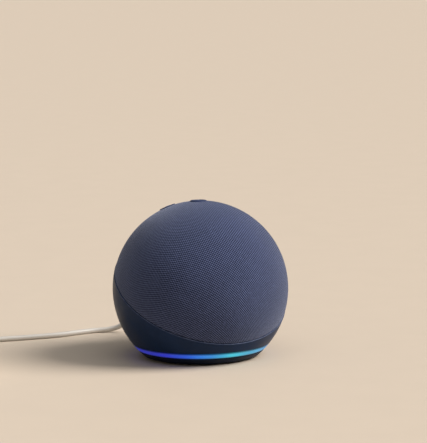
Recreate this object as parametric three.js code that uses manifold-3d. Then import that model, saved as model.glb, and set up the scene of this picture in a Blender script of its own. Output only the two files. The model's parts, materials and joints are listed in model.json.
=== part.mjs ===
// A ball-shaped smart speaker: fabric dome, plastic rear housing, light ring, four top buttons,
// a front-firing driver, its electronics, and a supply lead that is coiled beside it.
// Millimetres, +Z up. The origin is on the table under the middle of the ball. The front faces -Y.
import * as THREE from "three";
import { mergeVertices } from "three/addons/utils/BufferGeometryUtils.js";
import Module from "manifold-3d";

// ---- Driving dimensions ------------------------------------------------------------------------

// Ball and shells
const ballRadius = 50;
const bottomCut = 11.5; // how much of the ball is missing below, where it stands
const gap = 0.3; // between pieces that seat on each other
const seamTilt = 29.5; // degrees that the dome leans forward
const seamOffset = -0.8; // seam plane from the middle of the ball, along the dome's axis
const housingWall = 2.2;
const fabricInset = 0.25; // the fabric lies this far below the plastic lip
const fabricThickness = 1.1;
const grilleWall = 1.9;
const tongueDepth = 4; // how far the grille reaches inside the housing

// Foot, base plate and light ring
const footRadius = 29.5;
const footHeight = 1.5;
const baseBottom = 1;
const baseTop = 4.2;
const baseFloor = 1.6;
const ringBottom = 4.5;
const ringTop = 7.3;
const ringTongueHeight = 2.1;
const ringTongueWidth = 2.6;
const postRadius = 1.5;
const postHeight = 1.6;
const postCircle = 28;
const padRise = 0.8; // of the screws' pads above the base plate's rim
const counterboreDepth = 1.8;

// Ring board and its lights
const ringBoardThickness = 1;
const ringBoardWidth = 8.5;
const lightCount = 12;
const lightLength = 3;
const lightDepth = 2;
const lightHeight = 1.2;

// Core frame
const floorThickness = 2;
const plateThickness = 2;
const plateWidth = 50;
const plateFront = 4; // y of the plate's front face
const plateRise = 21; // above the middle of the ball
const baseBossRadius = 3.4;
const baseScrewCircle = 20;
const cradleWidth = 18;
const cradleDepth = 1.8; // of the chamber's seat in the cradle
const gussetWidth = 8;
const gussetHeight = 7;

// Screws
const screwShaft = 1.05;
const screwBore = screwShaft + gap;
const screwHeadRadius = 2.2;
const screwHeadHeight = 1.3;

// Main board, facing the back
const boardThickness = 1.2;
const boardWidth = 46;
const boardRise = 19.5; // above the middle of the ball
const boardLift = 1.3; // above the core frame's floor
const standoffLength = 7.7;
const standoffRadius = 3;
const standoffInset = 4.5; // from the board's edges
const shieldSize = 18;
const shieldDepth = 2.5;
const spreaderWidth = 30;
const spreaderHeight = 32;
const spreaderThickness = 1.8;
const capacitorRadius = 4;
const capacitorLength = 9.5;

// Driver, facing the front
const flangeRadius = 22.8;
const flangeThickness = 1.6;
const earCircle = 24.6;
const earRadius = 2.6;
const earClearance = 2; // from the ears' front corners to the grille
const gasketThickness = 0.9;
const chamberRadius = 25.5;
const chamberWall = 1.7;
const chamberBossRadius = 2.8;
const chamberMouth = 19.6;
const coneRim = 15.6;
const coilRadius = 5.7;
const throatGap = 0.4; // coil to pole, and winding to top plate
const windingThickness = 0.7;
const driverTravel = 1.2; // of the cone, each way

// Crown: buttons, guide and top board, stacked along their own axis
const crownTilt = 17; // degrees that the crown leans back
const buttonCircle = 13.2;
const buttonRadius = 4.6;
const buttonProud = 0.65; // above the fabric
const buttonTravel = 0.5;
const pressGap = 0.1; // left over the switch's plunger at full press
const buttonFlange = 1; // wider than the button, and as thick
const stemRadius = 3.2;
const guideThickness = 1.5;
const guideRadius = 20;
const guidePostCircle = 13;
const switchSize = 4.6;
const switchHeight = 2;
const plungerRadius = 1.2;
const plungerHeight = 0.6;
const stemLength = 4.4; // below the flange
const topBoardRadius = 21;
const crownBossRadius = 3.4;
const microphoneCircle = 18;

// Supply jack and plug, along +Y
const jackLift = 1.1; // above the light ring's tongue
const jackWidth = 9;
const jackLength = 13;
const jackBodyHeight = 10;
const barrelRadius = 2.75;
const barrelLength = 11;
const pinRadius = 0.9;
const pocketWall = 1.6;
const pocketDepth = 2.1; // at its shallowest
const grommetRadius = 4.6;
const grommetLength = 13.9;
const pocketRadius = grommetRadius + 1.2;
const reliefLength = 20;
const reliefRadius = 3.4;

// Supply lead, its coil and the wall adapter
const cordRadius = 1.5;
const coilMeanRadius = 19;
const coilPitch = 3.05; // between neighbouring turns
const coilRows = 4;
const coilColumns = 3;
const coilCentre = [-122.7, 85.7];
const clipThickness = 1.2;
const clipLength = 9;
const adapterSize = [40, 42, 27];
const bladeSize = [1.5, 17, 6.35];
const bladeSpacing = 12.7;
const bladeSocket = 2.5;

// Route of the lead's middle from the strain relief to the coil, chosen point by point
const cordRoute = [
  [0, 73.9, 15.5],
  [-0.1, 76.6, 14.9],
  [-1, 80.6, 11.6],
  [-3.8, 84.9, 6.8],
  [-8.2, 88.8, 3.3],
  [-13.6, 91.8, 1.8],
  [-21.1, 94.4, 1.5],
  [-31.4, 94.3, 1.5],
  [-45.3, 93.1, 1.5],
  [-57.8, 94.5, 1.5],
  [-69.9, 96.6, 1.5],
  [-81.7, 99.2, 1.5],
  [-95, 102.1, 1.5],
  [-106, 104.5, 1.5],
];

// Facets
const shellFacets = 32;
const shellSteps = 8;
const roundFacets = 16;
const smallFacets = 8;
const chamberFacets = 24;

// ---- Worked-out sizes --------------------------------------------------------------------------

// A faceted sphere's flats lie this share of its radius from the middle, round it and along its arc
const aroundShare = Math.cos(Math.PI / shellFacets);
const stepShare = Math.cos(Math.PI / 4 / shellSteps);

const ballCentreHeight = ballRadius - bottomCut;
const housingInner = ballRadius - housingWall;
const fabricOuter = ballRadius - fabricInset;
const fabricInner = fabricOuter - fabricThickness;
const grilleOuter = fabricInner - gap;
const grilleInner = grilleOuter - grilleWall;
const housingBottom = ringTop + gap;
const ringTongueOuter = radiusAt(housingInner * aroundShare * stepShare, housingBottom) - gap;
const ringInner = ringTongueOuter - ringTongueWidth;
const ringTongueTop = ringTop + ringTongueHeight;
const jackHeight = ringTongueTop + jackLift + jackBodyHeight / 2;
const baseRecess = footHeight + gap;
const baseFloorTop = baseRecess + baseFloor;
const ringBoardBottom = baseFloorTop + postHeight + gap;
const ringBoardTop = ringBoardBottom + ringBoardThickness;
const floorBottom = ringTongueTop + gap;
const floorTop = floorBottom + floorThickness;
const floorRadius = radiusAt(grilleInner * aroundShare * stepShare, floorBottom) - gap;
const plateBack = plateFront + plateThickness;
const boardFront = plateBack + standoffLength + gap;
const boardBack = boardFront + boardThickness;
const boardBottom = floorTop + boardLift;
const boardHeight = ballCentreHeight + boardRise - boardBottom;
const boardMiddle = boardBottom + boardHeight / 2;
const frameScrewX = ringInner - screwHeadRadius - 2 * gap;
const flangeFront = radiusOf(grilleInner, earCircle + earRadius) - earClearance;
const pocketFloor = radiusAt(ballRadius, jackHeight - pocketRadius) - pocketDepth;
const jackMouth = pocketFloor - pocketWall - gap;

// Radius of a sphere's level circle at a height above the table
function radiusAt(sphereRadius, height) {
  return radiusOf(sphereRadius, height - ballCentreHeight);
}

// The other leg of a right triangle under a sphere's radius
function radiusOf(sphereRadius, leg) {
  return Math.sqrt(sphereRadius ** 2 - leg ** 2);
}

// ---- Solids ------------------------------------------------------------------------------------

const wasm = await Module();
wasm.setup();

function solidOf(geometry) {
  const bare = geometry.index ? geometry.toNonIndexed() : geometry.clone();
  bare.deleteAttribute("normal");
  bare.deleteAttribute("uv");
  const merged = mergeVertices(bare, 1e-4);
  const vertProperties = merged.attributes.position.array;
  const triVerts = new Uint32Array(merged.index.array);
  return new wasm.Manifold(new wasm.Mesh({ numProp: 3, vertProperties, triVerts }));
}

function geometryOf(solid) {
  const mesh = solid.getMesh();
  const geometry = new THREE.BufferGeometry();
  geometry.setAttribute("position", new THREE.BufferAttribute(mesh.vertProperties, 3));
  geometry.setIndex(new THREE.BufferAttribute(mesh.triVerts, 1));
  geometry.computeVertexNormals();
  return geometry;
}

// One body joined from several, less every cutter
function shaped(bodies, cutters = []) {
  let solid = solidOf(bodies[0]);
  for (const body of bodies.slice(1)) {
    solid = solid.add(solidOf(body));
  }
  for (const cutter of cutters) {
    solid = solid.subtract(solidOf(cutter));
  }
  return geometryOf(solid);
}

function common(first, second) {
  return geometryOf(solidOf(first).intersect(solidOf(second)));
}

// A profile of [radius, height] points turned about the local Z axis
function turned(profile, facets = roundFacets) {
  const last = profile.length - 1;
  const area = profile.reduce((sum, [r, h], i) => {
    const [nextR, nextH] = profile[i === last ? 0 : i + 1];
    return sum + r * nextH - nextR * h;
  }, 0);
  const ordered = area > 0 ? profile : [...profile].reverse();
  const onAxis = ordered[0][0] === 0 && ordered[last][0] === 0;
  const closed = onAxis ? ordered : [...ordered, ordered[0]];
  const points = closed.map(([r, h]) => new THREE.Vector2(r, h));
  return new THREE.LatheGeometry(points, facets).rotateX(Math.PI / 2);
}

// Points of a sphere's outline between two heights, from the first to the second
function arc(radius, fromHeight, toHeight, steps) {
  const start = Math.acos(fromHeight / radius);
  const end = Math.acos(toHeight / radius);
  return Array.from({ length: steps + 1 }, (_, i) => {
    const angle = start + ((end - start) * i) / steps;
    const onAxis = Math.abs(Math.sin(angle)) < 1e-9;
    return [onAxis ? 0 : radius * Math.sin(angle), radius * Math.cos(angle)];
  });
}

function tube(outer, inner, bottom, top, facets = roundFacets) {
  return turned([[inner, bottom], [outer, bottom], [outer, top], [inner, top]], facets);
}

function rod(radius, bottom, top, facets = smallFacets) {
  return turned([[0, bottom], [radius, bottom], [radius, top], [0, top]], facets);
}

function block(x, y, z) {
  const geometry = new THREE.BoxGeometry(x[1] - x[0], y[1] - y[0], z[1] - z[0]);
  return geometry.translate((x[0] + x[1]) / 2, (y[0] + y[1]) / 2, (z[0] + z[1]) / 2);
}

function slab(thickness, from) {
  return [from, from + thickness];
}

function about(middle, size) {
  return [middle - size / 2, middle + size / 2];
}

// A rod along +Y
function rodAlongY(radius, x, z, from, to, facets = smallFacets) {
  return rod(radius, from, to, facets).rotateX(-Math.PI / 2).translate(x, 0, z);
}

// Places on a circle, as [x, y, angle] triples
function around(count, circle, firstDegrees = 0) {
  return Array.from({ length: count }, (_, i) => {
    const angle = THREE.MathUtils.degToRad(firstDegrees + (360 * i) / count);
    return [circle * Math.cos(angle), circle * Math.sin(angle), angle];
  });
}

// A flat strap of one thickness that follows [y, z] points and is wide along X
function strap(points, thickness, width) {
  const middle = points.map(([y, z]) => new THREE.Vector2(y, z));
  const side = (sign) =>
    middle.map((point, i) => {
      const before = middle[Math.max(i - 1, 0)];
      const after = middle[Math.min(i + 1, middle.length - 1)];
      const along = after.clone().sub(before).normalize();
      const across = new THREE.Vector2(-along.y, along.x);
      return point.clone().addScaledVector(across, (sign * thickness) / 2);
    });
  const outline = new THREE.Shape([...side(1), ...side(-1).reverse()]);
  const geometry = new THREE.ExtrudeGeometry(outline, { depth: width, bevelEnabled: false });
  geometry.translate(0, 0, -width / 2);
  return geometry.applyMatrix4(new THREE.Matrix4().set(0, 0, 1, 0, 1, 0, 0, 0, 0, 1, 0, 0, 0, 0, 0, 1));
}

// A round cable through a list of points
function cable(points, radius, sides, steps) {
  const path = new THREE.CatmullRomCurve3(points.map((point) => new THREE.Vector3(...point)));
  const section = new THREE.Shape();
  section.setFromPoints(
    around(sides, radius, 180 / sides).map(([x, y]) => new THREE.Vector2(x, y)),
  );
  return new THREE.ExtrudeGeometry(section, { steps, extrudePath: path, bevelEnabled: false });
}

// A screw along local Z: its head's underside is at zero and its shaft runs up
function screw(length, headRadius = screwHeadRadius, headHeight = screwHeadHeight) {
  const profile = [
    [0, -headHeight],
    [headRadius, -headHeight],
    [headRadius, 0],
    [screwShaft, 0],
    [screwShaft, length],
    [0, length],
  ];
  return turned(profile, smallFacets);
}

// ---- Finishes ----------------------------------------------------------------------------------

const finishes = {
  fabric: new THREE.MeshStandardMaterial({ color: 0x2a3352, roughness: 0.95, metalness: 0 }),
  housing: new THREE.MeshStandardMaterial({ color: 0x131f3a, roughness: 0.55, metalness: 0 }),
  button: new THREE.MeshStandardMaterial({ color: 0x1a2440, roughness: 0.5, metalness: 0 }),
  light: new THREE.MeshStandardMaterial({
    color: 0x4aa8e8,
    emissive: 0x1d6fd6,
    roughness: 0.4,
    metalness: 0,
  }),
  base: new THREE.MeshStandardMaterial({ color: 0x10141f, roughness: 0.6, metalness: 0 }),
  rubber: new THREE.MeshStandardMaterial({ color: 0x16181c, roughness: 0.9, metalness: 0 }),
  blackPlastic: new THREE.MeshStandardMaterial({ color: 0x1b1c20, roughness: 0.6, metalness: 0 }),
  paper: new THREE.MeshStandardMaterial({ color: 0x24262b, roughness: 0.9, metalness: 0 }),
  board: new THREE.MeshStandardMaterial({ color: 0x0f4a34, roughness: 0.5, metalness: 0.1 }),
  ribbon: new THREE.MeshStandardMaterial({ color: 0xb5702a, roughness: 0.45, metalness: 0 }),
  steel: new THREE.MeshStandardMaterial({ color: 0xa9adb3, roughness: 0.35, metalness: 1 }),
  magnet: new THREE.MeshStandardMaterial({ color: 0x3a3b3f, roughness: 0.6, metalness: 0.4 }),
  aluminium: new THREE.MeshStandardMaterial({ color: 0xc4c7cb, roughness: 0.4, metalness: 1 }),
  copper: new THREE.MeshStandardMaterial({ color: 0xb8703a, roughness: 0.35, metalness: 1 }),
  whitePlastic: new THREE.MeshStandardMaterial({ color: 0xe6e2da, roughness: 0.45, metalness: 0 }),
  lead: new THREE.MeshStandardMaterial({ color: 0xdedad1, roughness: 0.55, metalness: 0 }),
};

// ---- Frames ------------------------------------------------------------------------------------

const speaker = new THREE.Group();
const ball = new THREE.Group();
ball.position.z = ballCentreHeight;
speaker.add(ball);

// Local Z is the dome's axis, the driver's forward axis and the crown's axis
const dome = new THREE.Group();
dome.rotation.x = THREE.MathUtils.degToRad(seamTilt);
const front = new THREE.Group();
front.rotation.x = Math.PI / 2;
const crown = new THREE.Group();
crown.rotation.x = -THREE.MathUtils.degToRad(crownTilt);
ball.add(dome, front, crown);
speaker.updateMatrixWorld(true);

function add(frame, name, geometry, finish) {
  const mesh = new THREE.Mesh(geometry, finish);
  mesh.name = name;
  frame.add(mesh);
  return mesh;
}

// A geometry written in one frame, as another frame sees it
function carried(geometry, from, to) {
  const matrix = to.matrixWorld.clone().invert().multiply(from.matrixWorld);
  return geometry.clone().applyMatrix4(matrix);
}

// ---- Crown levels, from the grille inwards -----------------------------------------------------

const flangeRadiusOfButton = buttonRadius + buttonFlange;
const flangeTop = radiusOf(grilleInner, buttonCircle + flangeRadiusOfButton) - 1.5 * gap;
const flangeBottom = flangeTop - buttonFlange;
const guideTop = flangeBottom - buttonTravel - gap;
const guideBottom = guideTop - guideThickness;
const stemBottom = flangeBottom - stemLength;
const plungerTop = stemBottom - buttonTravel - pressGap;
const switchTop = plungerTop - plungerHeight;
const switchBottom = switchTop - switchHeight;
const topBoardTop = switchBottom - gap;
const topBoardBottom = topBoardTop - boardThickness;
const buttonPlaces = {
  action_button: [0, -buttonCircle],
  volume_up_button: [buttonCircle, 0],
  mic_off_button: [0, buttonCircle],
  volume_down_button: [-buttonCircle, 0],
};

// ---- Fabric dome and grille --------------------------------------------------------------------

const domeRim = seamOffset + gap;

function buildDome() {
  const holes = Object.values(buttonPlaces).map(([x, y]) => {
    const hole = rod(buttonRadius + gap, guideTop, ballRadius + 2, roundFacets).translate(x, y, 0);
    return carried(hole, crown, dome);
  });
  const fabric = turned(
    [
      ...arc(fabricOuter, fabricOuter, domeRim, shellSteps),
      ...arc(fabricInner, domeRim, fabricInner, shellSteps),
    ],
    shellFacets,
  );
  add(dome, "fabric_cover", shaped([fabric], holes), finishes.fabric);

  const shell = turned(
    [
      ...arc(grilleOuter, grilleOuter, domeRim, shellSteps),
      ...arc(housingInner * stepShare - gap, domeRim, seamOffset - tongueDepth, 1),
      ...arc(grilleInner, seamOffset - tongueDepth, grilleInner, shellSteps),
    ],
    shellFacets,
  );
  const boss = rod(crownBossRadius, guideTop + gap, (grilleInner + grilleOuter) / 2);
  const bossBore = rod(screwBore, guideTop, grilleInner - 1);
  const cutters = [...holes, carried(bossBore, crown, dome), ...soundHoles()];
  const grille = shaped([shell, carried(boss, crown, dome)], cutters);
  add(dome, "grille_shell", grille, finishes.blackPlastic);
}

// Rings of round sound holes in front of the driver
function soundHoles() {
  const rings = 2;
  const holeRadius = 1.9;
  const holeSpacing = 7;
  const holes = [];
  for (let ring = 0; ring <= rings; ring++) {
    const lean = (ring * holeSpacing) / grilleOuter;
    for (const [, , angle] of around(Math.max(6 * ring, 1), 1)) {
      const hole = rod(holeRadius, grilleInner - 1, grilleOuter + 1, 6);
      hole.rotateX(lean).rotateZ(angle);
      holes.push(carried(hole, front, dome));
    }
  }
  return holes;
}

// ---- Rear housing ------------------------------------------------------------------------------

function buildHousing() {
  const shell = turned(
    [
      ...arc(housingInner, -housingInner, seamOffset, shellSteps),
      ...arc(ballRadius, seamOffset, -ballRadius, shellSteps),
    ],
    shellFacets,
  );
  const whole = turned(arc(ballRadius, ballRadius, -ballRadius, 2 * shellSteps), shellFacets);
  const inside = (geometry) => common(whole, carried(geometry, speaker, dome));
  const cup = rodAlongY(
    pocketRadius + pocketWall,
    0,
    jackHeight,
    pocketFloor - pocketWall,
    ballRadius + 1,
    roundFacets,
  );
  const gussetZ = slab(gussetHeight, floorTop + gap);
  const gussetInner = frameScrewX - 3;
  const gussets = [-1, 1].map((side) => {
    const x = [side * gussetInner, side * ballRadius].sort((a, b) => a - b);
    return block(x, about(0, gussetWidth), gussetZ);
  });
  const cutters = [
    block(about(0, 4 * ballRadius), about(0, 4 * ballRadius), [-ballRadius, housingBottom]),
    rodAlongY(pocketRadius, 0, jackHeight, pocketFloor, ballRadius + 2, roundFacets),
    rodAlongY(barrelRadius + 1.5 * gap, 0, jackHeight, pocketFloor - 3, pocketFloor + 1, roundFacets),
    ...[-1, 1].map((side) =>
      rod(screwBore, floorTop, floorTop + gussetHeight - 1).translate(side * frameScrewX, 0, 0),
    ),
  ].map((cutter) => carried(cutter, speaker, dome));
  const housing = shaped([shell, inside(cup), ...gussets.map(inside)], cutters);
  add(dome, "rear_housing", housing, finishes.housing);
}

// ---- Light ring, base plate and foot -----------------------------------------------------------

const baseScrewPlaces = around(3, baseScrewCircle, 30);
const padTop = baseTop + padRise;
const counterboreTop = baseRecess + counterboreDepth;

function buildBase() {
  const ringMiddle = (ringBottom + ringTop) / 2;
  const ring = turned(
    [
      [ringInner, ringBottom],
      [radiusAt(ballRadius, ringBottom), ringBottom],
      [radiusAt(ballRadius, ringMiddle), ringMiddle],
      [radiusAt(ballRadius, ringTop), ringTop],
      [ringTongueOuter, ringTop],
      [ringTongueOuter, ringTongueTop],
      [ringInner, ringTongueTop],
    ],
    shellFacets,
  );
  add(speaker, "light_ring", ring, finishes.light);

  const plate = turned(
    [
      [0, baseRecess],
      [footRadius + gap, baseRecess],
      [footRadius + gap, baseBottom],
      [radiusAt(ballRadius, baseBottom), baseBottom],
      [radiusAt(ballRadius, baseTop), baseTop],
      [ringInner - 2 * gap, baseTop],
      [ringInner - 2 * gap, baseFloorTop],
      [0, baseFloorTop],
    ],
    shellFacets,
  );
  const pads = baseScrewPlaces.map(([x, y]) => {
    return rod(screwHeadRadius + 2.4, baseFloorTop - 1, padTop).translate(x, y, 0);
  });
  const posts = around(3, postCircle, 90).map(([x, y]) => {
    return rod(postRadius, baseFloorTop - 1, ringBoardBottom - gap).translate(x, y, 0);
  });
  const counterbores = baseScrewPlaces.map(([x, y]) => {
    return rod(screwHeadRadius + 2 * gap, baseRecess - 1, counterboreTop).translate(x, y, 0);
  });
  const bores = baseScrewPlaces.map(([x, y]) => rod(screwBore, 0, padTop + 1).translate(x, y, 0));
  const basePlate = shaped([plate, ...pads, ...posts], [...counterbores, ...bores]);
  add(speaker, "base_plate", basePlate, finishes.base);

  const foot = turned(
    [[0, 0], [footRadius - 0.4, 0], [footRadius, 0.4], [footRadius, footHeight], [0, footHeight]],
    shellFacets,
  );
  add(speaker, "rubber_foot", foot, finishes.rubber);

  baseScrewPlaces.forEach(([x, y], i) => {
    const fastener = screw(floorTop - counterboreTop - 1);
    fastener.translate(x, y, counterboreTop - gap);
    add(speaker, `base_screw_${i + 1}`, fastener, finishes.steel);
  });
}

// ---- Ring board with its lights ----------------------------------------------------------------

function buildRingBoard() {
  const outer = ringInner - 2 * gap;
  const board = tube(outer, outer - ringBoardWidth, ringBoardBottom, ringBoardTop, shellFacets);
  const lights = around(lightCount, outer - lightDepth / 2 - 0.2, 15).map(([x, y, angle]) => {
    const light = block(about(0, lightDepth), about(0, lightLength), [
      ringBoardTop - 0.2,
      ringBoardTop + lightHeight,
    ]);
    return light.rotateZ(angle).translate(x, y, 0);
  });
  add(speaker, "ring_board", shaped([board, ...lights]), finishes.board);
}

// ---- Core frame, standing on the light ring and the base ---------------------------------------

const ribbonX = -12;
const ribbonWidth = 6;
const leadX = 20;
const standoffPlaces = [-1, 1].flatMap((side) =>
  [-1, 1].map((level) => [
    side * (boardWidth / 2 - standoffInset),
    boardMiddle + level * (boardHeight / 2 - standoffInset),
  ]),
);

function buildCoreFrame() {
  const floor = rod(floorRadius, floorBottom, floorTop, shellFacets);
  const plateTop = ballCentreHeight + plateRise;
  const plate = block(about(0, plateWidth), [plateFront, plateBack], [floorTop - 1, plateTop]);
  const cradleTop = ballCentreHeight - chamberRadius + cradleDepth;
  const cradle = block(about(0, cradleWidth), [-28, plateFront + 1], [floorTop - 1, cradleTop]);
  const bosses = baseScrewPlaces.map(([x, y]) => {
    return rod(baseBossRadius, padTop + gap, floorTop - 0.5).translate(x, y, 0);
  });
  const bossBores = baseScrewPlaces.map(([x, y]) => rod(screwBore, padTop, floorTop - 0.7).translate(x, y, 0));
  const standoffs = standoffPlaces.map(([x, z]) =>
    rodAlongY(standoffRadius, x, z, plateBack - 1, boardFront - gap),
  );
  const standoffBores = standoffPlaces.map(([x, z]) =>
    rodAlongY(screwBore, x, z, plateFront - 1, boardFront),
  );
  const frameBores = [-1, 1].map((side) => {
    return rod(screwBore, floorBottom - 1, floorTop + 1).translate(side * frameScrewX, 0, 0);
  });
  const cutters = [
    ...bossBores,
    ...standoffBores,
    ...frameBores,
    block(about(0, jackWidth + 2 * gap), [jackMouth - jackLength - gap, 2 * ballRadius], [0, floorTop + 1]),
    block(about(ribbonX, ribbonWidth + 2), [boardBack - 1, boardBack + 7], [0, floorTop + 1]),
    rodAlongY(1.6, leadX, ballCentreHeight, plateFront - 1, plateBack + 1),
    rodAlongY(pocketRadius + pocketWall + gap, 0, jackHeight, jackMouth, 2 * ballRadius),
    rodAlongY(chamberRadius + gap, 0, ballCentreHeight, -ballRadius, plateFront, chamberFacets),
  ];
  const frame = shaped([floor, plate, cradle, ...bosses, ...standoffs], cutters);
  add(speaker, "core_frame", frame, finishes.blackPlastic);

  [-1, 1].forEach((side, i) => {
    const fastener = screw(floorThickness + gussetHeight - 1);
    fastener.translate(side * frameScrewX, 0, floorBottom - gap);
    add(speaker, `frame_screw_${i + 1}`, fastener, finishes.steel);
  });
}

// ---- Main board and what is on it --------------------------------------------------------------

function buildMainBoard() {
  const sheet = block(about(0, boardWidth), [boardFront, boardBack], slab(boardHeight, boardBottom));
  const holes = standoffPlaces.map(([x, z]) =>
    rodAlongY(screwBore, x, z, boardFront - 1, boardBack + 1),
  );
  add(speaker, "main_board", shaped([sheet], holes), finishes.board);

  const shieldBack = boardFront - gap;
  const shieldZ = about(boardMiddle, shieldSize);
  const shield = block(about(0, shieldSize), [shieldBack - shieldDepth, shieldBack], shieldZ);
  add(speaker, "processor_shield", shield, finishes.steel);

  const spreaderBack = shieldBack - shieldDepth - gap;
  const spreader = block(
    about(0, spreaderWidth),
    [spreaderBack - spreaderThickness, spreaderBack],
    about(boardMiddle, spreaderHeight),
  );
  add(speaker, "heat_spreader", spreader, finishes.aluminium);

  const capacitor = rodAlongY(
    capacitorRadius,
    boardWidth / 4 + 2,
    boardBottom + 12,
    boardBack + gap,
    boardBack + gap + capacitorLength,
    16,
  );
  add(speaker, "bulk_capacitor", capacitor, finishes.aluminium);

  [standoffPlaces[1], standoffPlaces[2]].forEach(([x, z], i) => {
    const fastener = screw(standoffLength);
    fastener.rotateX(Math.PI / 2).translate(x, boardBack + gap, z);
    add(speaker, `board_screw_${i + 1}`, fastener, finishes.steel);
  });
}

// ---- Ribbons and the driver's lead -------------------------------------------------------------

function buildRibbons() {
  const thickness = 0.5;
  const behindBoard = boardBack + gap + thickness / 2;
  const crownPoint = (along, level) => {
    const point = new THREE.Vector3(0, along, level).applyMatrix4(crown.matrixWorld);
    return [point.y, point.z];
  };
  const underBoard = topBoardBottom - gap - thickness / 2;
  const boardTop = boardBottom + boardHeight;
  const topRibbon = strap(
    [
      [behindBoard, boardTop - 9],
      [behindBoard, boardTop + 1],
      [behindBoard + 2.5, boardTop + 5],
      crownPoint(10, underBoard - 1),
      crownPoint(8, underBoard),
      crownPoint(4, underBoard),
    ],
    thickness,
    8,
  );
  add(speaker, "top_ribbon", topRibbon, finishes.ribbon);

  const overRing = ringBoardTop + gap + thickness / 2;
  const ringRibbon = strap(
    [
      [behindBoard + 11, overRing],
      [behindBoard + 7.5, overRing],
      [behindBoard + 3, floorBottom - 1],
      [behindBoard, boardBottom],
      [behindBoard, boardBottom + 7],
    ],
    thickness,
    ribbonWidth,
  );
  add(speaker, "ring_ribbon", ringRibbon.translate(ribbonX, 0, 0), finishes.ribbon);
}

// ---- Driver and its chamber --------------------------------------------------------------------

const flangeBack = flangeFront - flangeThickness;
const gasketFront = flangeBack - gap;
const chamberFront = gasketFront - gasketThickness - gap;
const chamberBack = -plateFront + gap;
const basketFloor = flangeFront - 12;
const earPlaces = around(4, earCircle, 45);

function buildDriver() {
  const at = (depth) => flangeFront - depth; // depth behind the flange's face
  const basketWall = turned(
    [
      [flangeRadius, flangeFront],
      [flangeRadius, flangeBack],
      [chamberMouth - 0.4, flangeBack],
      [15.2, basketFloor],
      [8, basketFloor],
      [8, basketFloor + 1.2],
      [12.6, basketFloor + 1.2],
      [12.6, basketFloor + 2],
      [14.6, basketFloor + 2],
      [18.2, flangeBack],
      [18.8, flangeFront],
    ],
    roundFacets,
  );
  const ears = earPlaces.map(([x, y]) => rod(earRadius, flangeBack, flangeFront).translate(x, y, 0));
  const earHoles = earPlaces.map(([x, y]) => {
    return rod(screwBore, flangeBack - 1, flangeFront + 1).translate(x, y, 0);
  });
  const windows = around(4, 17, 0).map(([x, y, angle]) => {
    const window = block([-4, 4], [-4.5, 4.5], [basketFloor + 3.2, flangeBack - 1.2]);
    return window.rotateZ(angle).translate(x, y, 0);
  });
  const basket = shaped([basketWall, ...ears], [...earHoles, ...windows]);
  add(front, "driver_basket", basket, finishes.steel);

  const gasket = tube(21.5, chamberMouth + gap, gasketFront - gasketThickness, gasketFront);
  add(front, "driver_gasket", gasket, finishes.paper);

  const rollMiddle = 17.2;
  const rollRadius = 1.9;
  const rollThickness = 0.6;
  const rimBack = flangeFront + gap;
  const rimFront = rimBack + rollThickness;
  const rollSteps = 4;
  const rollArc = (radius, backwards) =>
    Array.from({ length: rollSteps + 1 }, (_, i) => {
      const angle = (Math.PI * (backwards ? rollSteps - i : i)) / rollSteps;
      return [rollMiddle + radius * Math.cos(angle), rimBack + radius * Math.sin(angle)];
    });
  const surround = turned([
    [20.6, rimBack],
    [20.6, rimFront],
    ...rollArc(rollRadius, false).filter(([, z]) => z > rimFront),
    [14.4, rimFront],
    [14.4, rimBack],
    ...rollArc(rollRadius - rollThickness, true),
  ]);
  add(front, "driver_surround", surround, finishes.rubber);

  const windingOuter = coilRadius + windingThickness;
  const formerOuter = coilRadius + 0.4;
  const neck = formerOuter + gap;
  const cone = turned([
    [neck, at(8.4)],
    [neck + 0.6, at(8.4)],
    [neck + 0.6, at(7.2)],
    [coneRim, at(0.8)],
    [coneRim, at(0.1)],
    [neck, at(6.6)],
  ]);
  add(front, "driver_cone", cone, finishes.paper);

  const capEdge = at(5.6);
  const dustCap = turned([
    [0, capEdge + 1.9],
    [3.6, capEdge + 1.4],
    [6.7, capEdge],
    [7.3, capEdge],
    [4, capEdge + 2],
    [0, capEdge + 2.5],
  ]);
  add(front, "driver_dust_cap", dustCap, finishes.paper);

  const topPlateFront = basketFloor - gap;
  const topPlateBack = topPlateFront - 2.3;
  const magnetFront = topPlateBack - gap;
  const magnetBack = magnetFront - 4.3;
  const yokeFloor = magnetBack - gap;
  const windingBack = yokeFloor + driverTravel + 0.5;
  const windingFront = topPlateFront - 1;
  const voiceCoil = turned([
    [coilRadius, windingBack],
    [windingOuter, windingBack],
    [windingOuter, windingFront],
    [formerOuter, windingFront],
    [formerOuter, at(6.8)],
    [coilRadius, at(6.8)],
  ]);
  add(front, "driver_voice_coil", voiceCoil, finishes.copper);

  const spiderBack = basketFloor + 2 + gap;
  const waves = [0, 0.7, 0, 0.7, 0, 0];
  const spiderRadius = (i) => neck + ((13.8 - neck) * i) / (waves.length - 1);
  const lower = waves.map((wave, i) => [spiderRadius(i), spiderBack + wave]);
  const upper = waves.map((wave, i) => [spiderRadius(i), spiderBack + wave + 0.4]).reverse();
  add(front, "driver_spider", turned([...lower, ...upper]), finishes.ribbon);

  const topPlate = tube(14.2, windingOuter + throatGap, topPlateBack, topPlateFront);
  add(front, "driver_top_plate", topPlate, finishes.steel);
  add(front, "driver_magnet", tube(14.8, 8.6, magnetBack, magnetFront), finishes.magnet);
  const pole = coilRadius - throatGap;
  const yoke = turned([
    [0, yokeFloor - 2.3],
    [14.2, yokeFloor - 2.3],
    [14.2, yokeFloor],
    [pole, yokeFloor],
    [pole, topPlateFront],
    [0, topPlateFront],
  ]);
  add(front, "driver_yoke", yoke, finishes.steel);

  earPlaces.forEach(([x, y], i) => {
    const fastener = screw(9, 2, 1.1).rotateX(Math.PI);
    fastener.translate(x, y, flangeFront + gap);
    add(front, `driver_screw_${i + 1}`, fastener, finishes.steel);
  });
}

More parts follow.
